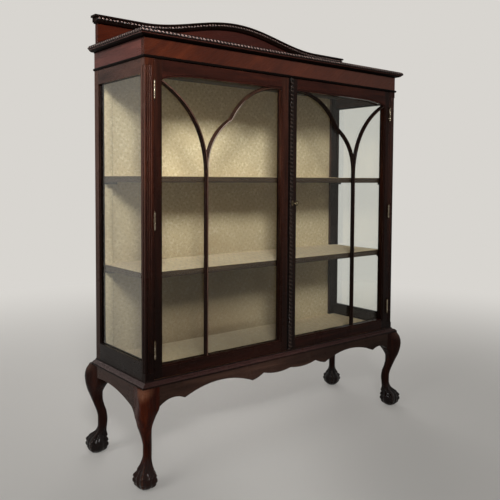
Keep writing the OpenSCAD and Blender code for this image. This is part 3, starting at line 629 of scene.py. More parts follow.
# Dark trim, and the shaded trim under the cornice and beside the panes
DARK = ((13, 8, 6), (24, 13, 10), (40, 21, 15))
DARK_X = Mahogany("dark_mahogany_x", Grain.X, *DARK, polish=0.42, gleam=0.04, coat=0.0)
DARK_Y = Mahogany("dark_mahogany_y", Grain.Y, *DARK, gleam=0.16)
DARK_Z = Mahogany("dark_mahogany_z", Grain.Z, *DARK)
BASE_X = Mahogany("base_mahogany_x", Grain.X, *DARK, edge_r=0.4 * MM, rubbed=(60, 39, 36))
BASE_Y = Mahogany("base_mahogany_y", Grain.Y, *DARK, edge_r=0.4 * MM, rubbed=(86, 73, 71))
SHADED_X = Mahogany("shaded_mahogany_x", Grain.X, (9, 6, 5), (16, 10, 8), (26, 15, 12), polish=0.4,
                    gleam=0.02, coat=0.0, edge_r=0.4 * MM, rubbed=(66, 36, 30))
SHADED_Y = replace(SHADED_X, name="shaded_mahogany_y", grain=Grain.Y, deep=(12, 9, 8),
                   body=(20, 14, 12), warm=(32, 21, 17), gleam=0.03, rubbed=(100, 76, 72))
SHADED_Z = Mahogany("shaded_mahogany_z", Grain.Z, (7, 5, 4), (13, 9, 8), (22, 14, 12), polish=0.4,
                    gleam=0.02, coat=0.0)

# Bars and carving
BAR_WOOD = Mahogany("bar_mahogany", Grain.Z, *DARK, edge_r=0.5 * MM, rubbed=(104, 76, 64))
# A lighter copy with a brighter painted highlight, for the left-hand door's inner bar.
LIT_INNER_BAR = Mahogany("inner_bar_mahogany", Grain.Z, (24, 15, 11), (62, 40, 30), (88, 58, 43),
                     edge_r=0.5 * MM, rubbed=(178, 160, 146))
CARVED_X = Mahogany("carved_mahogany_x", Grain.X, *DARK, polish=0.12, gleam=0.25, edge_r=0.3 * MM,
                    rubbed=(150, 122, 114))
# The side runs' paler tones are partly the wood's colour and partly painted sheen.
CARVED_Y = replace(CARVED_X, name="carved_mahogany_y", grain=Grain.Y, deep=(20, 13, 11),
                   body=(44, 30, 27), warm=(62, 46, 42), rubbed=(112, 94, 88))
CARVED_Z = Mahogany("carved_mahogany_z", Grain.Z, (5, 4, 3), (28, 19, 15), (48, 33, 26),
                    polish=0.16, gleam=0.07, edge_r=0.3 * MM, rubbed=(52, 42, 37))

# Stand, frieze and gallery
LEG_WOOD = Mahogany("leg_mahogany", Grain.Z, (24, 7, 3), (60, 20, 9), (96, 40, 19), polish=0.18,
                    gleam=0.05, foot_h=75 * MM, edge_r=0.8 * MM, coat=0.05, rubbed=(126, 82, 60))
# A darker copy for the legs other than the front left one: painted shade.
SHADED_LEG = replace(LEG_WOOD, name="dark_leg_mahogany", deep=(14, 6, 4), body=(36, 15, 10),
                   warm=(56, 27, 18), rubbed=(86, 60, 48))
APRON_X = Mahogany("apron_mahogany", Grain.X, (26, 17, 14), (48, 33, 27), (70, 49, 40), gleam=0.05)
# Painted reflection greys its right-hand end.
RED_X = Mahogany("red_mahogany_x", Grain.X, (38, 12, 5), (58, 20, 8), (80, 31, 14), polish=0.22,
                 stripe=0.55, slant=0.25, faded=(60, 32, 29))
# The returns' paler, pinker tones are partly the wood's colour and partly painted sheen.
RED_Y = Mahogany("red_mahogany_y", Grain.Y, (52, 22, 17), (84, 41, 34), (112, 60, 50), polish=0.26,
                 gleam=0.3)
VENEER = FlameVeneer("flame_veneer")
BOARD_X = PlainBoard("plain_board_x", Grain.X)
BOARD_Z = PlainBoard("plain_board_z", Grain.Z)
CEILING = PlainBoard("ceiling_board", Grain.X, (44, 41, 36), (80, 75, 66))

# Cloth, glass and brass
DAMASK = Damask("damask")
FLOOR_CLOTH = Damask("floor_cloth", (226, 200, 154), (170, 138, 94), (242, 221, 178),
                     (200, 172, 126))
# More painted shade, reaching higher, on the back lining.
BACK_CLOTH = Damask("back_cloth", dusty=(92, 70, 44), dust_top=1.05, dustiness=0.8)
DOOR_GLASS = SheetGlass("door_glass")
SIDE_GLASS = SheetGlass("side_glass", mirror=0.12)
PIN_BRASS = OldBrass("old_brass", (120, 104, 80), (60, 46, 32))
KEY_BRASS = OldBrass("key_brass", (140, 124, 96), (66, 52, 34))
LEAF_BRASS = OldBrass("leaf_brass", (186, 174, 154), (96, 80, 60), smooth=0.2)


@dataclass
class Joinery:
    """Makes pieces from points and faces and hands them to the frame."""

    finishes: Finishes

    def piece(self, name: str, points: Sequence[Vector], faces: Sequence[Sequence[int]],
              finish: Finish, body: str = "cabinet", nodes: Sequence[str] = (),
              sharp: float = 40.0, slot: Slot = Slot.MAHOGANY, crown: Sequence[float] = ()
              ) -> bpy.types.Object:
        """Makes one piece.

        Args:
            name: Its name.
            points: Its corners.
            faces: Its faces as corner numbers.
            finish: Its finish.
            body: The body that it rides on.
            nodes: The CAD nodes that it replaces.
            sharp: Edges sharper than this many degrees stay sharp.
            slot: Its material slot in the record; not used.
            crown: The painted light at each corner, from 0 to 1: painted shade where low, a painted
            highlight where high.

        Returns:
            The object.
        """
        mesh = bpy.data.meshes.new(name)
        mesh.from_pydata([tuple(p) for p in points], [], [tuple(f) for f in faces])
        if crown:
            values = mesh.attributes.new("crown", "FLOAT", "POINT")
            values.data.foreach_set("value", list(crown))
        mesh.validate()
        mesh.polygons.foreach_set("use_smooth", [True] * len(mesh.polygons))
        mesh.set_sharp_from_angle(angle=math.radians(sharp))
        mesh.materials.append(self.finishes.get(finish))
        made = bpy.data.objects.new(name, mesh)
        bpy.context.scene.collection.objects.link(made)
        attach(made, body)
        if nodes:
            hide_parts(*nodes)
        log.info("%s: %d faces on %s", name, len(mesh.polygons), body)
        return made

    def loft(self, name: str, rings: Sequence[Ring], finish: Finish, side: Side = Side.RIGHT,
             **details: object) -> bpy.types.Object:
        """Makes one piece by joining rings of points.

        Args:
            name: Its name.
            rings: Its rings as they are on the right-hand side.
            finish: Its finish.
            side: The side that it is wanted on.
            details: What else piece() takes.

        Returns:
            The object.
        """
        return self.piece(name, *self.mirrored(*self.skin(rings), side), finish, **details)

    @staticmethod
    def skin(rings: Sequence[Ring]) -> Skin:
        """Joins closed rings of points into a skin and fills its two ends.

        Args:
            rings: Rings with the same number of points.

        Returns:
            The points and faces.
        """
        count = len(rings[0])
        points = [p for ring in rings for p in ring]
        faces = [[i * count + k, i * count + (k + 1) % count, (i + 1) * count + (k + 1) % count,
                  (i + 1) * count + k] for i in range(len(rings) - 1) for k in range(count)]
        end = len(points) - count
        faces.append(list(range(count))[::-1])
        faces.append([end + k for k in range(count)])
        return points, faces

    @staticmethod
    def mirrored(points: Sequence[Vector], faces: Sequence[Sequence[int]], side: Side) -> Skin:
        """Mirrors a right-hand shape in the middle plane for the left side.

        Args:
            points: Its points.
            faces: Its faces.
            side: The side that it is wanted on.

        Returns:
            The points and faces for that side.
        """
        if side is Side.RIGHT:
            return list(points), [list(f) for f in faces]
        return [Vector((-p.x, p.y, p.z)) for p in points], [list(f)[::-1] for f in faces]


def bow(start: Point2, end: Point2, rise: float, steps: int) -> list[Point2]:
    """Gives a curve between two points that bulges to the left of its way.

    Args:
        start: The first point.
        end: The last point.
        rise: How far its middle bulges.
        steps: Number of pieces.

    Returns:
        The points.
    """
    way = (end[0] - start[0], end[1] - start[1])
    size = math.hypot(*way)
    peak = ((start[0] + end[0]) / 2 - way[1] / size * 2 * rise,
            (start[1] + end[1]) / 2 + way[0] / size * 2 * rise)
    curve = []
    for i in range(steps + 1):
        t = i / steps
        curve.append(tuple((1 - t) ** 2 * a + 2 * t * (1 - t) * b + t * t * c
                           for a, b, c in zip(start, peak, end)))
    return curve


def smooth_lookup(table: Sequence[Point2], where: float) -> float:
    """Reads a table along a smooth curve that never overshoots.

    Args:
        table: Positions and values, in order.
        where: The position to read at.

    Returns:
        The value there.
    """
    if where <= table[0][0]:
        return table[0][1]
    if where >= table[-1][0]:
        return table[-1][1]
    k = next(i for i in range(len(table) - 1) if table[i + 1][0] >= where)

    def slope(i: int) -> float:
        """Gives the curve's slope at one entry.

        Args:
            i: The entry's number.

        Returns:
            The slope, 0 where the values turn back.
        """
        if i <= 0 or i >= len(table) - 1:
            return 0.0
        before = (table[i][1] - table[i - 1][1]) / (table[i][0] - table[i - 1][0])
        after = (table[i + 1][1] - table[i][1]) / (table[i + 1][0] - table[i][0])
        return 0.0 if before * after <= 0 else 2 * before * after / (before + after)

    (x0, y0), (x1, y1) = table[k], table[k + 1]
    span = x1 - x0
    t = (where - x0) / span
    return ((2 * t ** 3 - 3 * t ** 2 + 1) * y0 + (t ** 3 - 2 * t ** 2 + t) * span * slope(k)
            + (3 * t ** 2 - 2 * t ** 3) * y1 + (t ** 3 - t ** 2) * span * slope(k + 1))


# Half outline of the leg below its ears, along and across its diagonal, by height
SHANK_U: Curve = ((0, 0), (42, 0), (63, -8), (77, -15), (98, -20), (122, -21))
SHANK_V: Curve = (
    (0, 13), (4, 20.5), (9, 26), (15, 30.5), (28, 33.5), (40, 32.5), (54, 24), (64, 18), (77, 15),
    (98, 13.5), (122, 13.5))


@dataclass
class CabrioleLeg:
    """Cabriole leg with a ball-and-claw foot, in millimetres along its diagonal.

    Its outlines run by height: front and back along the diagonal, and the ears beside it, which
    are deep towards a side apron and else short. Knuckles is how far the claws stand proud.
    """

    name: str
    side: Side
    at_back: bool
    finish: Mahogany = LEG_WOOD
    half_w: float = 580.0
    half_d: float = 166.0
    stand: float = 308.0
    sides: int = 96
    claw_spread: float = 12.0
    claws: tuple[float, ...] = (0.0, 78.0, 180.0, 282.0)
    talon_h: float = 26.0
    round_h: float = 150.0
    square_h: float = 256.0
    knee_h: float = 298.0
    knee_spread: float = 34.0
    front: Curve = (
        (0, 13), (4, 20.5), (9, 26.5), (15, 31), (28, 34.5), (42, 33.5), (54, 27), (63, 16),
        (77, 1), (98, -4), (122, -4), (143, 0), (164, 8), (188, 18.5), (221, 34), (247, 40.5),
        (266, 42), (280, 39.5), (294, 34), (308, 24.1))
    back: Curve = (
        (0, -13), (4, -20.5), (9, -26.5), (15, -31), (28, -34.5), (42, -33.5), (54, -31),
        (72, -31), (93, -35), (117, -37), (141, -34), (164, -26), (188, -21), (207, -21),
        (222, -27), (240, -39), (254, -52), (262, -56.6), (308, -56.6))
    short_u: Curve = SHANK_U + (
        (143, -16), (164, -7), (188, 1), (204, -1), (221, -6), (232, -11), (240, -15), (246, -17),
        (308, -17))
    short_v: Curve = SHANK_V + (
        (143, 14.5), (164, 17), (188, 20.5), (204, 25), (221, 31), (232, 36), (240, 39),
        (246, 39.6), (308, 39.6))
    deep_u: Curve = SHANK_U + (
        (143, -18), (164, -13), (188, -6), (204, -10), (220, -17), (308, -17))
    deep_v: Curve = SHANK_V + (
        (143, 16), (164, 20.5), (188, 27), (204, 32), (220, 39.6), (308, 39.6))
    knuckles: Curve = (
        (0, 0.5), (4, 2.4), (10, 4.6), (16, 4.6), (20, 3.4), (26, 6.4), (32, 6.2), (37, 3.4),
        (44, 7.2), (50, 6.2), (54, 3.8), (60, 6.8), (68, 4.8), (80, 1.8), (95, 0), (308, 0))

    def ring(self, height: float) -> list[tuple[float, float, float]]:
        """Gives the cross-section at one height.

        Args:
            height: Height over the floor.

        Returns:
            Points along and across the diagonal, and the painted light there: a painted highlight
            on the claws' ridges and the knee's front, a little painted shade elsewhere.
        """
        front, back = smooth_lookup(self.front, height), smooth_lookup(self.back, height)
        centre = (front + back) / 2
        square = min(1.0, max(0.0, (height - self.round_h) / (self.square_h - self.round_h)))
        claw = smooth_lookup(self.knuckles, height)
        spread = self.claw_spread * (0.55 + 0.45 * min(1.0, height / self.talon_h))
        knee = math.exp(-((height - self.knee_h) / self.knee_spread) ** 2)
        points = []
        for i in range(self.sides):
            angle = 360 * i / self.sides
            c, s = math.cos(math.radians(angle)), math.sin(math.radians(angle))
            deep = not self.at_back and s > 0
            ear_u = smooth_lookup(self.deep_u if deep else self.short_u, height)
            ear_v = smooth_lookup(self.deep_v if deep else self.short_v, height)
            tip = front if c >= 0 else back
            power = (2 - square + 0.35 * square * c * c) if c >= 0 else (2 - square)
            u = ear_u + (tip - ear_u) * abs(c) ** (2 / power)
            v = math.copysign(ear_v * abs(s) ** (2 / power), s) if s else 0.0
            away = min(abs((angle - claw_at + 180) % 360 - 180) for claw_at in self.claws)
            ridge = math.exp(-(away / spread) ** 2)
            groove = math.exp(-((away - 2.1 * spread) / (0.8 * spread)) ** 2)
            reach = max(1.0, math.hypot(u - centre, v))
            swell = 1 + claw * (ridge - 0.45 * groove) / reach
            # Painted highlight on the claws' ridges and on the front of the knee; a little painted
            # shade elsewhere.
            proud = max(0.76 * ridge * min(1.0, claw / 4), 0.4 + 0.5 * max(0.0, c) * knee)
            points.append((centre + (u - centre) * swell, v * swell, proud))
        return points

    def heights(self) -> list[float]:
        """Gives the heights of the rings, closer together over the carved foot and the knee."""
        shank = [2.0 * i for i in range(42)] + [84 + 4.0 * i for i in range(35)]
        return shank + [224 + 3.0 * i for i in range(12)] + [262, 275, 290, 300, self.stand]

    def build(self, joinery: Joinery) -> bpy.types.Object:
        """Makes the leg.

        Args:
            joinery: The maker of pieces.

        Returns:
            The leg.
        """
        lean = math.radians(-45)
        # Here proud and carved hold each point's painted light, not its height.
        rings, crown = [], []
        for height in self.heights():
            ring, proud = [], []
            for u, v, carved in self.ring(height):
                x = u * math.cos(lean) - v * math.sin(lean)
                y = u * math.sin(lean) + v * math.cos(lean)
                ring.append(spot(self.half_w + x, self.half_d - y if self.at_back
                                 else y - self.half_d, height))
                proud.append(carved)
            rings.append(ring[::-1] if self.at_back else ring)
            crown.extend(proud[::-1] if self.at_back else proud)
        return joinery.loft("carved_" + self.name, rings, self.finish, self.side,
                            nodes=[self.name], sharp=60, crown=crown)


@dataclass
class SideApron:
    """Apron under one side, swept down into the front leg and thinned behind its lower edge."""

    side: Side
    face: float = 596.0
    stand: float = 308.0
    half: float = 126.0
    ear_h: float = 92.0
    back_h: float = 40.0
    rise: float = 29.0
    thick: float = 20.0
    lip: float = 6.0
    lip_h: float = 3.0
    full_z: float = 268.0
    thinned_h: float = 12.0
    eased: float = 0.6

    def edge(self) -> list[Point2]:
        """Gives the lower edge as distances from the middle and drops under the case."""
        knee = (-0.85 * self.half, -0.75 * self.ear_h)
        return (bow((-self.half, -self.ear_h), knee, self.rise / 14, 8)
                + bow(knee, (self.half, -self.back_h), self.rise / 2, 30)[1:])

    def build(self, joinery: Joinery) -> None:
        """Makes the apron.

        Args:
            joinery: The maker of pieces.
        """
        inner = self.face - self.thick
        rings = []
        for y, drop in self.edge():
            low = self.stand + drop
            full = max(low + self.lip_h, self.full_z)
            share = max(0.0, 1 - (full - low) / self.thinned_h)
            lip = self.face - (self.lip + (self.thick - self.lip) * share)
            rings.append([spot(x, y, z) for x, z in (
                (self.face - self.eased, low), (self.face, low + self.eased),
                (self.face, self.stand), (inner, self.stand), (inner, full), (lip, low + 1),
                (lip + 1, low))])
        joinery.loft(f"side_apron_{self.side.word}", rings, ALONG_Y, self.side,
                     nodes=["side_aprons"])


@dataclass
class CaseSizes:
    """Outer sizes of the case that the mouldings follow, in millimetres."""

    half_w: float = 580.0
    half_d: float = 166.0


@dataclass
class Moulding:
    """Moulding mitred round the front and both sides of the case."""

    node: str
    profile: list[Point2]
    foot: float
    front_finish: Mahogany
    side_finish: Mahogany
    crown: tuple[float, ...] = ()
    case: CaseSizes = field(default_factory=CaseSizes)

    def run(self, corners: Sequence[tuple[float, float, float, float]]) -> list[Ring]:
        """Gives the rings of a run from each end's x and y and how they change outward."""
        return [[spot(x + dx * out, y + dy * out, self.foot + up) for out, up in self.profile]
                for x, y, dx, dy in corners]

    def build(self, joinery: Joinery) -> None:
        """Makes the front and the two side runs.

        Args:
            joinery: The maker of pieces.
        """
        w, d = self.case.half_w, self.case.half_d
        details = {"nodes": [self.node], "crown": self.crown * 2}
        joinery.loft(self.node + "_front", self.run([(w, -d, 1, -1), (-w, -d, -1, -1)]),
                     self.front_finish, **details)
        for side in Side:
            joinery.loft(f"{self.node}_{side.word}", self.run([(w, d, 1, 0), (w, -d, 1, -1)]),
                         self.side_finish, side, **details)


@dataclass
class Mouldings:
    """Base moulding, frieze bead and cornice of the case."""

    case_z: float = 308.0
    frieze_z: float = 1293.0
    cornice_z: float = 1352.0
    base_w: float = 18.0
    base_h: float = 18.0
    # Heights of the painted highlight band on the base moulding's ogee
    base_worn: Point2 = (4.8, 14.0)
    bead_r: float = 4.2
    bead_steps: int = 14
    cornice_w: float = 19.5
    cornice_h: float = 22.0
    cornice_in: float = -10.0
    rope_z: float = 9.0
    # Painted light of the mouldings off their highlight: a little painted shade
    hollow: float = 0.4

    def base(self) -> list[Point2]:
        """Gives the profile of the base moulding: a nosing under an ogee."""
        w, h = self.base_w, self.base_h
        return ([(0, 0), (w - 0.8, 0)] + bow((w - 0.8, 0), (w, 0.8), -0.2, 3)[1:] + [(w, 3.4)]
                + bow((w, 3.4), (w - 1.2, 4.7), 0.4, 3)[1:]
                + bow((w - 2, 5.1), (w / 2, h - 7), -1.2, 8)
                + bow((w / 2, h - 7), (2, h - 1), 1.2, 8)[1:] + [(0, h)])

    def bead(self) -> list[Point2]:
        """Gives the profile of the bead: a half round on a fillet.

        Returns:
            Distances out and up.
        """
        r = self.bead_r
        turns = [math.pi * i / self.bead_steps for i in range(self.bead_steps + 1)]
        return ([(0, 0)] + [(1.2 + 0.9 * r * math.sin(t), r - r * math.cos(t)) for t in turns]
                + [(0, 2 * r)])

    def cornice(self) -> list[Point2]:
        """Gives the profile of the cornice: a fillet, an ovolo and the flat behind the rope."""
        w, h, rope, back = self.cornice_w, self.cornice_h, self.rope_z, self.cornice_in
        return ([(back, 0), (2, 0), (2, 2.5)] + bow((3.5, 2.5), (w - 2, rope - 3), -1.8, 14)
                + [(w, rope - 1.5), (w, h - 2)] + bow((w, h - 2), (w - 2, h), -0.5, 4)[1:]
                + [(back, h)])

    def build(self, joinery: Joinery) -> None:
        """Makes all three mouldings, with painted highlights on the base's ogee and the cornice's
        lip.

        Args:
            joinery: The maker of pieces.
        """
        base, cornice = self.base(), self.cornice()
        # Painted highlight on the base moulding's ogee and on the cornice's lip; the rest is
        # painted a little darker as shade, and the frieze bead, with none, darker still.
        low, high = self.base_worn
        worn = tuple(1.0 if low < up < high else self.hollow for _, up in base)
        Moulding("base_moulding", base, self.case_z, BASE_X, BASE_Y, worn).build(joinery)
        Moulding("frieze_bead", self.bead(), self.frieze_z, SHADED_X, SHADED_Y).build(joinery)
        worn = tuple(1.0 if out > self.cornice_w - 1.5 and up < self.rope_z - 1 else self.hollow
                     for out, up in cornice)
        Moulding("cornice", cornice, self.cornice_z, SHADED_X, SHADED_Y, worn).build(joinery)


@dataclass
class CarvedRope:
    """Half-round carving with slanting strands, laid along a line.

    Groove is the depth between strands as a share of the radius, lean is how far a strand slants
    in turns, and lit is the angle in degrees of the side that gets the painted highlight.
    """

    radius: float
    pitch: float
    groove: float = 0.3
    lean: float = 0.55
    lit: float = 90.0
    shine: float = 1.35
    round_steps: int = 8
    steps_per_turn: int = 8

    def rings(self, length: float, place: Callable[[float, float, float], Vector]
              ) -> tuple[list[Ring], list[float]]:
        """Gives the rings of a rope.

        Args:
            length: Its length.
            place: Gives the point at a distance along, outward and upward.

        Returns:
            The rings, and the painted light at each of their points.
        """
        turns = max(1, round(length / self.pitch))
        rings, crown = [], []
        for i in range(turns * self.steps_per_turn + 1):
            along = length * i / (turns * self.steps_per_turn)
            ring = []
            for k in range(self.round_steps + 1):
                theta = math.pi * k / self.round_steps
                phase = (along / length * turns - self.lean * k / self.round_steps) % 1.0
                swell = 1 - abs(2 * phase - 1) ** 2
                ridge = 1 - self.groove * (1 - swell)
                # Painted highlight on the tops of the strands on the lit side; the grooves and the
                # far side are painted darker as shade.
                facing_light = max(0.0, math.cos(theta - math.radians(self.lit))) ** 1.3
                crown.append(min(1.0, self.shine * swell ** 2 * facing_light))
                ring.append(place(along, self.radius * ridge * math.sin(theta),
                                  self.radius * ridge * math.cos(theta)))
            rings.append(ring)
        return rings, crown


@dataclass
class CorniceRope:
    """Carved rope on the edge of the cornice, mitred at the front corners."""

    edge: float = 19.5
    height: float = 1366.5
    case: CaseSizes = field(default_factory=CaseSizes)
    flank_lit: float = 78.0
    rope: CarvedRope = field(default_factory=lambda: CarvedRope(5.5, 13.5, 0.6, 0.4, 55))

    def build(self, joinery: Joinery) -> None:
        """Makes the front and side runs.

        Args:
            joinery: The maker of pieces.
        """
        w, d, r = self.case.half_w + self.edge, self.case.half_d + self.edge, self.rope.radius
        length = 2 * (w + r)

        def front(along: float, out: float, up: float) -> Vector:
            """Places a point of the front run, cut to its mitres."""
            x = min(w + out, max(-w - out, along - length / 2))
            return spot(x, -d - out, self.height + up)

        rings, crown = self.rope.rings(length, front)
        joinery.loft("cornice_rope_front", rings, CARVED_X, nodes=["cornice_rope"], sharp=70,
                     crown=crown)

        def flank(along: float, out: float, up: float) -> Vector:
            """Places a point of the right-hand run, cut to its mitre."""
            y = max(-d - out, min(self.case.half_d, self.case.half_d - along))
            return spot(w + out, y, self.height + up)

        rings, crown = replace(self.rope, lit=self.flank_lit).rings(self.case.half_d + d + r, flank)
        for side in Side:
            joinery.loft(f"cornice_rope_{side.word}", rings, CARVED_Y, side,
                         nodes=["cornice_rope"], sharp=70, crown=crown)


@dataclass
class Gallery:
    """Shaped gallery at the back of the top: a moulded cap with a carved rope."""

    top: float = 1374.0
    half_d: float = 166.0
    end_h: float = 100.0
    rise: float = 58.0
    reach: float = 420.0
    cap_half: float = 592.0
    cap_d: float = 38.0
    cap_h: float = 25.0
    fillet_h: float = 7.0
    band_in: float = 6.0
    cove_h: float = 4.0
    cove_in: float = 10.0
    wave_steps: int = 48
    rope: CarvedRope = field(default_factory=lambda: CarvedRope(6.0, 13.5, 0.6, 0.4, 45))

    def line(self, x: float) -> float:
        """Gives the height of the cap's top over the floor at a distance from the middle."""
        wave = (1 + math.cos(math.pi * x / self.reach)) / 2 if abs(x) < self.reach else 0.0
        return self.top + self.end_h + self.rise * wave

    def bands(self) -> list[tuple[str, float, list[Point2]]]:
        """Gives the bands of the cap.

        Returns:
            Each band's name, half length, and profile as depth and drop.
        """
        d, h, top = self.cap_d, self.cap_h, self.fillet_h
        cove_z = h - self.cove_h
        band_d, cove_d = d - self.band_in, d - 8
        fillet = ([(0, 0), (d - 3, 0)] + bow((d - 3, 0), (d, 3), 0.9, 6)[1:] + [(d, 5.4)]
                  + bow((d, 5.4), (d - 1.6, top), 0.4, 3)[1:] + [(0, top)])
        flat = [(0, top), (band_d, top), (band_d, cove_z), (0, cove_z)]
        cove = ([(0, cove_z), (cove_d, cove_z)]
                + bow((cove_d, cove_z), (d - 12, h), -0.8, 6)[1:] + [(0, h)])
        return [("top", self.cap_half, fillet), ("band", self.cap_half - self.band_in, flat),
                ("cove", self.cap_half - self.cove_in, cove)]

    def build(self, joinery: Joinery) -> None:
        """Makes the cap and its rope.

        Args:
            joinery: The maker of pieces.
        """
        wave = [self.reach * (i / self.wave_steps - 1) for i in range(2 * self.wave_steps + 1)]
        for name, half, profile in self.bands():
            rings = [[spot(x, self.half_d - depth, self.line(x) - drop) for depth, drop in profile]
                     for x in sorted({-half, half, *wave})]
            joinery.loft("gallery_cap_" + name, rings, DARK_X, nodes=["gallery_cap"], sharp=35)
        half = self.cap_half - self.band_in
        middle = (self.fillet_h + self.cap_h - self.cove_h) / 2
        face = self.half_d - self.cap_d + self.band_in

        def place(along: float, out: float, up: float) -> Vector:
            """Places a point of the rope on the cap's middle band."""
            x = along - half
            return spot(x, face - out, self.line(x) - middle + up)

        rings, crown = self.rope.rings(2 * half, place)
        joinery.loft("gallery_rope_carved", rings, CARVED_X, nodes=["gallery_rope"], sharp=70,
                     crown=crown)


@dataclass
class GlazingBars:
    """Rounded bars in front of a door's glass, in millimetres for the right-hand door."""

    side: Side
    open_in: float = 36.5
    open_out: float = 519.5
    open_z0: float = 366.5
    open_z1: float = 1251.5
    arch_end: float = 1230.5
    bar_x: float = 348.5
    fork_z: float = 961.5
    width: float = 12.0
    depth: float = 14.5
    glass_y: float = -148.0
    tip_in: float = 97.0
    tip_up: float = 170.0
    lap: float = 4.0
    # Half-width of the painted highlight on a bar's crest, and its strength along the left-hand
    # door's inner bar
    crest: float = 1.6
    rubbing: Curve = ((0, 1.0), (0.5, 1.0), (0.62, 0.7), (0.8, 0.5), (0.9, 0.25), (1, 0.1))

    def section(self) -> list[Point2]:
        """Gives the bar's section.

        Returns:
            Offsets across it and out from the glass.
        """
        w, d = self.width / 2, self.depth
        nose = w * 0.6
        left = ([(-w, 0), (-w, d * 0.36), (-w + 0.5, d * 0.43), (-w + 1.2, d * 0.46),
                 (-nose, d / 2), (-nose, d - 3.4)] + bow((-nose, d - 3.2), (-0.8, d), 0.8, 5))
        return left + [(-a, out) for a, out in reversed(left)]

    def lines(self) -> dict[str, list[Point2]]:
        """Gives the centre line of each bar.

        Returns:
            Its points as x and height, by the bar's name.
        """
        fork = (self.bar_x, self.fork_z)
        tip = (self.bar_x - self.tip_in, self.fork_z + self.tip_up)
        lower = bow(fork, tip, -28, 16)
        upper = bow(tip, (self.open_in, self.open_z1), -36, 20)
        outer = bow(fork, (self.open_out, self.arch_end + 2), 46, 24)
        return {"upright": [(self.bar_x, self.open_z0), (self.bar_x, self.fork_z + self.lap)],
                "outer": outer, "inner": lower + upper[1:]}

    def ribbon(self, line: Sequence[Point2]) -> list[Ring]:
        """Lays the section along a line, which it laps at both ends.

        Args:
            line: The centre line.

        Returns:
            The rings.
        """
        path = [Vector(p) for p in line]
        path[0] = path[0] - (path[1] - path[0]).normalized() * self.lap
        path[-1] = path[-1] + (path[-1] - path[-2]).normalized() * self.lap
        rings = []
        for i, here in enumerate(path):
            before = (here - path[i - 1]).normalized() if i else (path[1] - here).normalized()
            after = (path[i + 1] - here).normalized() if i < len(path) - 1 else before
            way = (before + after).normalized()
            across = Vector((-way.y, way.x)) * min(1.6, 1 / max(0.3, way.dot(after)))
            rings.append([spot(here.x + across.x * a, self.glass_y - out, here.y + across.y * a)
                          for a, out in self.section()])
        return rings

    def crowns(self, name: str, along: float) -> list[float]:
        """Gives a bar's painted light round its section: a highlight along its crest, shade on its
        sides.

        Args:
            name: The bar's name.
            along: How far along the bar, from 0 to 1.

        Returns:
            The painted light at each point of the section.
        """
        # The highlight is stronger on the left-hand door, fades along its inner bar and is faint on
        # the right-hand one's; edge paints the sides darker as shade.
        edge = 0.45
        if name != "inner":
            shine = 1.0 - 0.2 * self.side.value
        elif self.side is Side.RIGHT:
            shine = 0.3
        else:
            shine, edge = smooth_lookup(self.rubbing, along), 0.1
        return [shine if abs(a) < self.crest and out else min(edge, shine)
                for a, out in self.section()]

    def build(self, joinery: Joinery) -> None:
        """Makes the three bars of this door.

        Args:
            joinery: The maker of pieces.
        """
        for name, line in self.lines().items():
            rings = self.ribbon(line)
            last = len(rings) - 1
            crown = [value for i in range(last + 1) for value in self.crowns(name, i / last)]
            # The left-hand door's inner bar takes the lit copy of the bar wood.
            finish = LIT_INNER_BAR if name == "inner" and self.side is Side.LEFT else BAR_WOOD
            joinery.loft(f"{self.side.word}_{name}_bar", rings, finish, self.side,
                         body=f"{self.side.word}_door", nodes=[f"{self.side.word}_glazing_bars"],
                         crown=crown)


@dataclass
class MeetingBead:
    """Carved bead down the meeting edge of the right-hand door, narrower beside the lock."""

    edge: float = 1.5
    face: float = -166.0
    low: float = 327.5
    high: float = 1291.5
    width: float = 18.0
    proud: float = 5.0
    lock_z: float = 853.0
    lock_h: float = 15.0
    lock_w: float = 8.5
    rope: CarvedRope = field(default_factory=lambda: CarvedRope(1.0, 14.0, 0.5, 0.5, 110))

    def build(self, joinery: Joinery) -> None:
        """Makes the bead.

        Args:
            joinery: The maker of pieces.
        """
        def place(along: float, out: float, up: float) -> Vector:
            """Places a point of the bead.

            Args:
                along: How far up the bead.
                out: How far to the front.
                up: How far towards the hinge.

            Returns:
                The point.
            """
            height = self.low + along
            width = self.lock_w if abs(height - self.lock_z) < self.lock_h else self.width
            return spot(self.edge + width / 2 * (1 + up), self.face - self.proud * out, height)

        rings, crown = self.rope.rings(self.high - self.low, place)
        points, faces = joinery.skin(rings)
        joinery.piece("meeting_bead_carved", points, [f[::-1] for f in faces], CARVED_Z,
                      "right_door", ["meeting_bead"], 70, crown=crown)


@dataclass
class PostLining:
    """Cloth glued to the front face of a back post, inside the case."""

    side: Side
    outer: float = 559.0
    inner: float = 530.5
    face: float = 138.0
    cloth: float = 0.8
    glue: float = 0.02
    low: float = 337.0
    high: float = 1292.0
    slack: float = 0.25
    steps: int = 48

    def build(self, joinery: Joinery) -> None:
        """Makes the strip, with its edges turned under.

        Args:
            joinery: The maker of pieces.
        """
        front, back = self.face - self.cloth, self.face - self.glue
        rings = []
        for i in range(self.steps + 1):
            z = self.low + (self.high - self.low) * i / self.steps
            outer = self.outer + self.slack * math.sin(i * 1.7)
            rings.append([spot(x, y, z) for x, y in (
                (self.inner, back), (self.inner, front + 0.3), (self.inner + 0.4, front),
                (outer - 0.4, front), (outer, front + 0.3), (outer, back))])
        joinery.loft(f"post_lining_{self.side.word}", rings, DAMASK, self.side, slot=Slot.LINING)


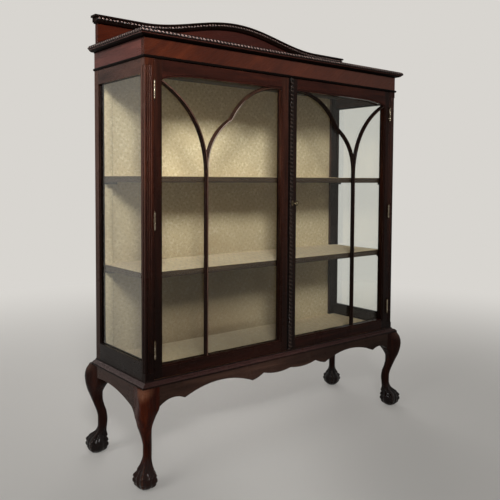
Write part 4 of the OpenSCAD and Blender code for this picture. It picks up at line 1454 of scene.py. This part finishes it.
@dataclass
class BackFillet:
    """Plain strip on the stand that closes the slot behind the case."""

    half: float = 539.5
    front: float = 140.0
    back: float = 161.9
    low: float = 300.0
    high: float = 307.95
    bevel: float = 1.0

    def build(self, joinery: Joinery) -> None:
        """Makes the strip, with its corners planed off.

        Args:
            joinery: The maker of pieces.
        """
        b = self.bevel
        outline = ((self.front + b, self.low), (self.back - b, self.low), (self.back, self.low + b),
                   (self.back, self.high), (self.front, self.high), (self.front, self.low + b))
        rings = [[spot(x, y, z) for y, z in outline] for x in (-self.half, 0.0, self.half)]
        joinery.loft("back_fillet", rings, BOARD_X, slot=Slot.BOARD)


@dataclass
class PackedParts:
    """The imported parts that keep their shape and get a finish."""

    worn: tuple[tuple[Finish, str], ...] = (
        (UPRIGHT, "left_hinge_stile right_hinge_stile"),
        (LEFT_MEETING, "left_meeting_stile"),
        (RIGHT_MEETING, "right_meeting_stile"),
        (POST, "front_posts"),
        (SHADED_BACK_POST, "back_posts"),
        (ALONG_X, "left_top_rail left_bottom_rail right_top_rail right_bottom_rail"),
        (ALONG_Y, "side_top_rails"),
        (SHADED_SIDE_RAIL, "side_bottom_rails"),
        (APRON_X, "front_apron"),
        (DARK_Z, "left_glass_beads right_glass_beads"),
        (SHADED_Z, "side_glass_beads"),
        (SHELF_X, "lower_shelf upper_shelf"),
        (DARK_Y, "shelf_ledges"),
        (BOARD_X, "back_rail bottom_board dust_board"),
        (BOARD_Z, "back_panel"),
        (CEILING, "ceiling_board"),
        (FLOOR_CLOTH, "bottom_lining shelf_linings"),
        (BACK_CLOTH, "back_lining"),
        (DOOR_GLASS, "left_glass right_glass"),
        (SIDE_GLASS, "side_glasses"),
        (LEAF_BRASS, "frame_hinge_leaves left_door_leaves right_door_leaves"),
        (PIN_BRASS, "hinge_pins"),
        (KEY_BRASS, "lock_case escutcheon key lock_bolt bolt_plates top_bolt bottom_bolt"),
        (VENEER, "frieze_front"),
        (RED_Y, "frieze_returns"),
        (RED_X, "gallery_board"))

    def dress(self, frame: dict, finishes: Finishes) -> None:
        """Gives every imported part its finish.

        Args:
            frame: The loaded frame.
            finishes: The finishes.
        """
        for finish, names in self.worn:
            for name in names.split():
                mesh = frame["nodes"][name].data
                mesh.materials.clear()
                mesh.materials.append(finishes.get(finish))
                log.info("%s: %s", name, finish.name)


@dataclass
class Studio:
    """Pale floor, soft lamps and the camera of the photograph."""

    eye: tuple[float, float, float] = (-1.5182, -1.8151, 0.9345)
    yaw: float = 39.1
    pitch: float = 2.896
    roll: float = 0.3
    lens: float = 45.515
    shift_y: float = -0.0763
    pale: Shade = (216, 213, 208)
    reflected: float = 0.5
    daylight: Colour = (1, 0.985, 0.96)
    daylight_strength: float = 0.19
    floor_half: float = 30.0
    floor_gap: float = 0.5 * MM

    def camera(self) -> None:
        """Makes the camera."""
        data = bpy.data.cameras.new("photo_camera")
        data.lens = self.lens
        data.sensor_width = 36.0
        data.sensor_fit = "HORIZONTAL"
        data.shift_y = self.shift_y
        data.dof.use_dof = False
        made = bpy.data.objects.new("photo_camera", data)
        made.matrix_world = (
            Matrix.Translation(self.eye) @ Matrix.Rotation(math.radians(-self.yaw), 4, "Z")
            @ Matrix.Rotation(math.radians(90 - self.pitch), 4, "X")
            @ Matrix.Rotation(math.radians(self.roll), 4, "Z"))
        bpy.context.scene.collection.objects.link(made)
        bpy.context.scene.camera = made

    def lamp(self, name: str, place: Sequence[float], aim: Sequence[float], size: float,
             watts: float, spread: float = 180.0, glints: bool = True) -> None:
        """Makes one soft lamp.

        Args:
            name: Its name.
            place: Where it stands.
            aim: What it points at.
            size: Its width and height.
            watts: Its power.
            spread: The angle in degrees that its light fills.
            glints: True if polished wood mirrors it.
        """
        data = bpy.data.lights.new(name, "AREA")
        data.shape = "SQUARE"
        data.size = size
        data.energy = watts
        data.spread = math.radians(spread)
        made = bpy.data.objects.new(name, data)
        made.location = place
        made.rotation_euler = (Vector(aim) - Vector(place)).to_track_quat("-Z", "Y").to_euler()
        made.visible_glossy = glints
        bpy.context.scene.collection.objects.link(made)

    def floor(self) -> None:
        """Makes the plain pale floor, which keeps the cabinet's shadow."""
        mesh = bpy.data.meshes.new("studio_floor")
        half = self.floor_half
        mesh.from_pydata([(-half, -half, 0), (half, -half, 0), (half, half, 0), (-half, half, 0)],
                         [], [(0, 1, 2, 3)])
        bench = Bench("studio_floor")
        matte = bench.node("ShaderNodeBsdfPrincipled", None, {
            "Base Color": opaque(*self.pale), "Roughness": 0.75, "Specular IOR Level": 0.1})
        glow = bench.node("ShaderNodeEmission", None, {
            "Color": opaque(*self.pale), "Strength": 1.0})
        away = bench.node("ShaderNodeVectorMath", {"operation": "LENGTH"},
                          {0: bench.object_place()}, output="Value")
        far = (away.between(0.9, 3.6) * 0.75 + 0.25) * self.seen(bench)
        mesh.materials.append(bench.finish(
            bench.node("ShaderNodeMixShader", None, {0: far, 1: matte, 2: glow})))
        made = bpy.data.objects.new("studio_floor", mesh)
        made.location.z = -self.floor_gap
        bpy.context.scene.collection.objects.link(made)

    def seen(self, bench: Bench) -> Signal:
        """Tells where the pale surroundings are looked at.

        Args:
            bench: The bench of their material.

        Returns:
            1 there, and a share of it in reflections.
        """
        rays = {way: bench.node("ShaderNodeLightPath", output=f"Is {way} Ray")
                for way in ("Camera", "Transmission", "Glossy")}
        through = rays["Camera"].math("MAXIMUM", rays["Transmission"])
        return through.math("MAXIMUM", rays["Glossy"] * self.reflected)

    def sky(self) -> None:
        """Makes the world: soft light, seen as the pale background."""
        world = bpy.data.worlds.new("studio")
        bpy.context.scene.world = world
        world.use_nodes = True
        bench = Bench("studio_sky", world.node_tree)
        light = bench.node("ShaderNodeBackground", None, {
            "Color": (*self.daylight, 1), "Strength": self.daylight_strength})
        pale = bench.node("ShaderNodeBackground", None, {"Color": opaque(*self.pale)})
        mixed = bench.node("ShaderNodeMixShader", None, {0: self.seen(bench), 1: light, 2: pale})
        bench.node("ShaderNodeOutputWorld", None, {"Surface": mixed})

    def build(self) -> None:
        """Makes the camera, the lamps, the floor and the world."""
        self.camera()
        self.floor()
        self.sky()
        self.lamp("window_lamp", (-1.8, -2.5, 2.2), (-0.32, 0.1, 1.15), size=0.6, watts=7.6,
                  spread=43)
        self.lamp("low_lamp", (-1.3, -2.4, 0.32), (-0.1, -0.1, 0.05), size=0.3, watts=0.8,
                  spread=17)
        self.lamp("side_lamp", (-3.4, -0.4, 2.0), (0, 0, 0.8), size=1.8, watts=30, glints=False)
        self.lamp("back_lamp", (1.8, 2.9, 2.4), (0, 0, 0.9), size=2.0, watts=30, glints=False)
        bpy.context.scene.view_settings.view_transform = "Standard"


def main() -> None:
    """Builds the looks in order."""
    logging.basicConfig(level=logging.INFO, format="%(message)s")
    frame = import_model()
    finishes = Finishes()
    joinery = Joinery(finishes)
    PackedParts().dress(frame, finishes)
    for side in Side:
        for at_back in (False, True):
            name = f"leg_{'back' if at_back else 'front'}_{side.word}"
            # The front left leg takes the lit copy of the wood; the others take a copy painted
            # darker as shade.
            finish = LEG_WOOD if name == "leg_front_left" else SHADED_LEG
            CabrioleLeg(name, side, at_back, finish).build(joinery)
        SideApron(side).build(joinery)
        GlazingBars(side).build(joinery)
    Mouldings().build(joinery)
    CorniceRope().build(joinery)
    Gallery().build(joinery)
    MeetingBead().build(joinery)
    PostLining(Side.LEFT).build(joinery)
    BackFillet().build(joinery)
    Studio().build()


if __name__ == "__main__":
    main()
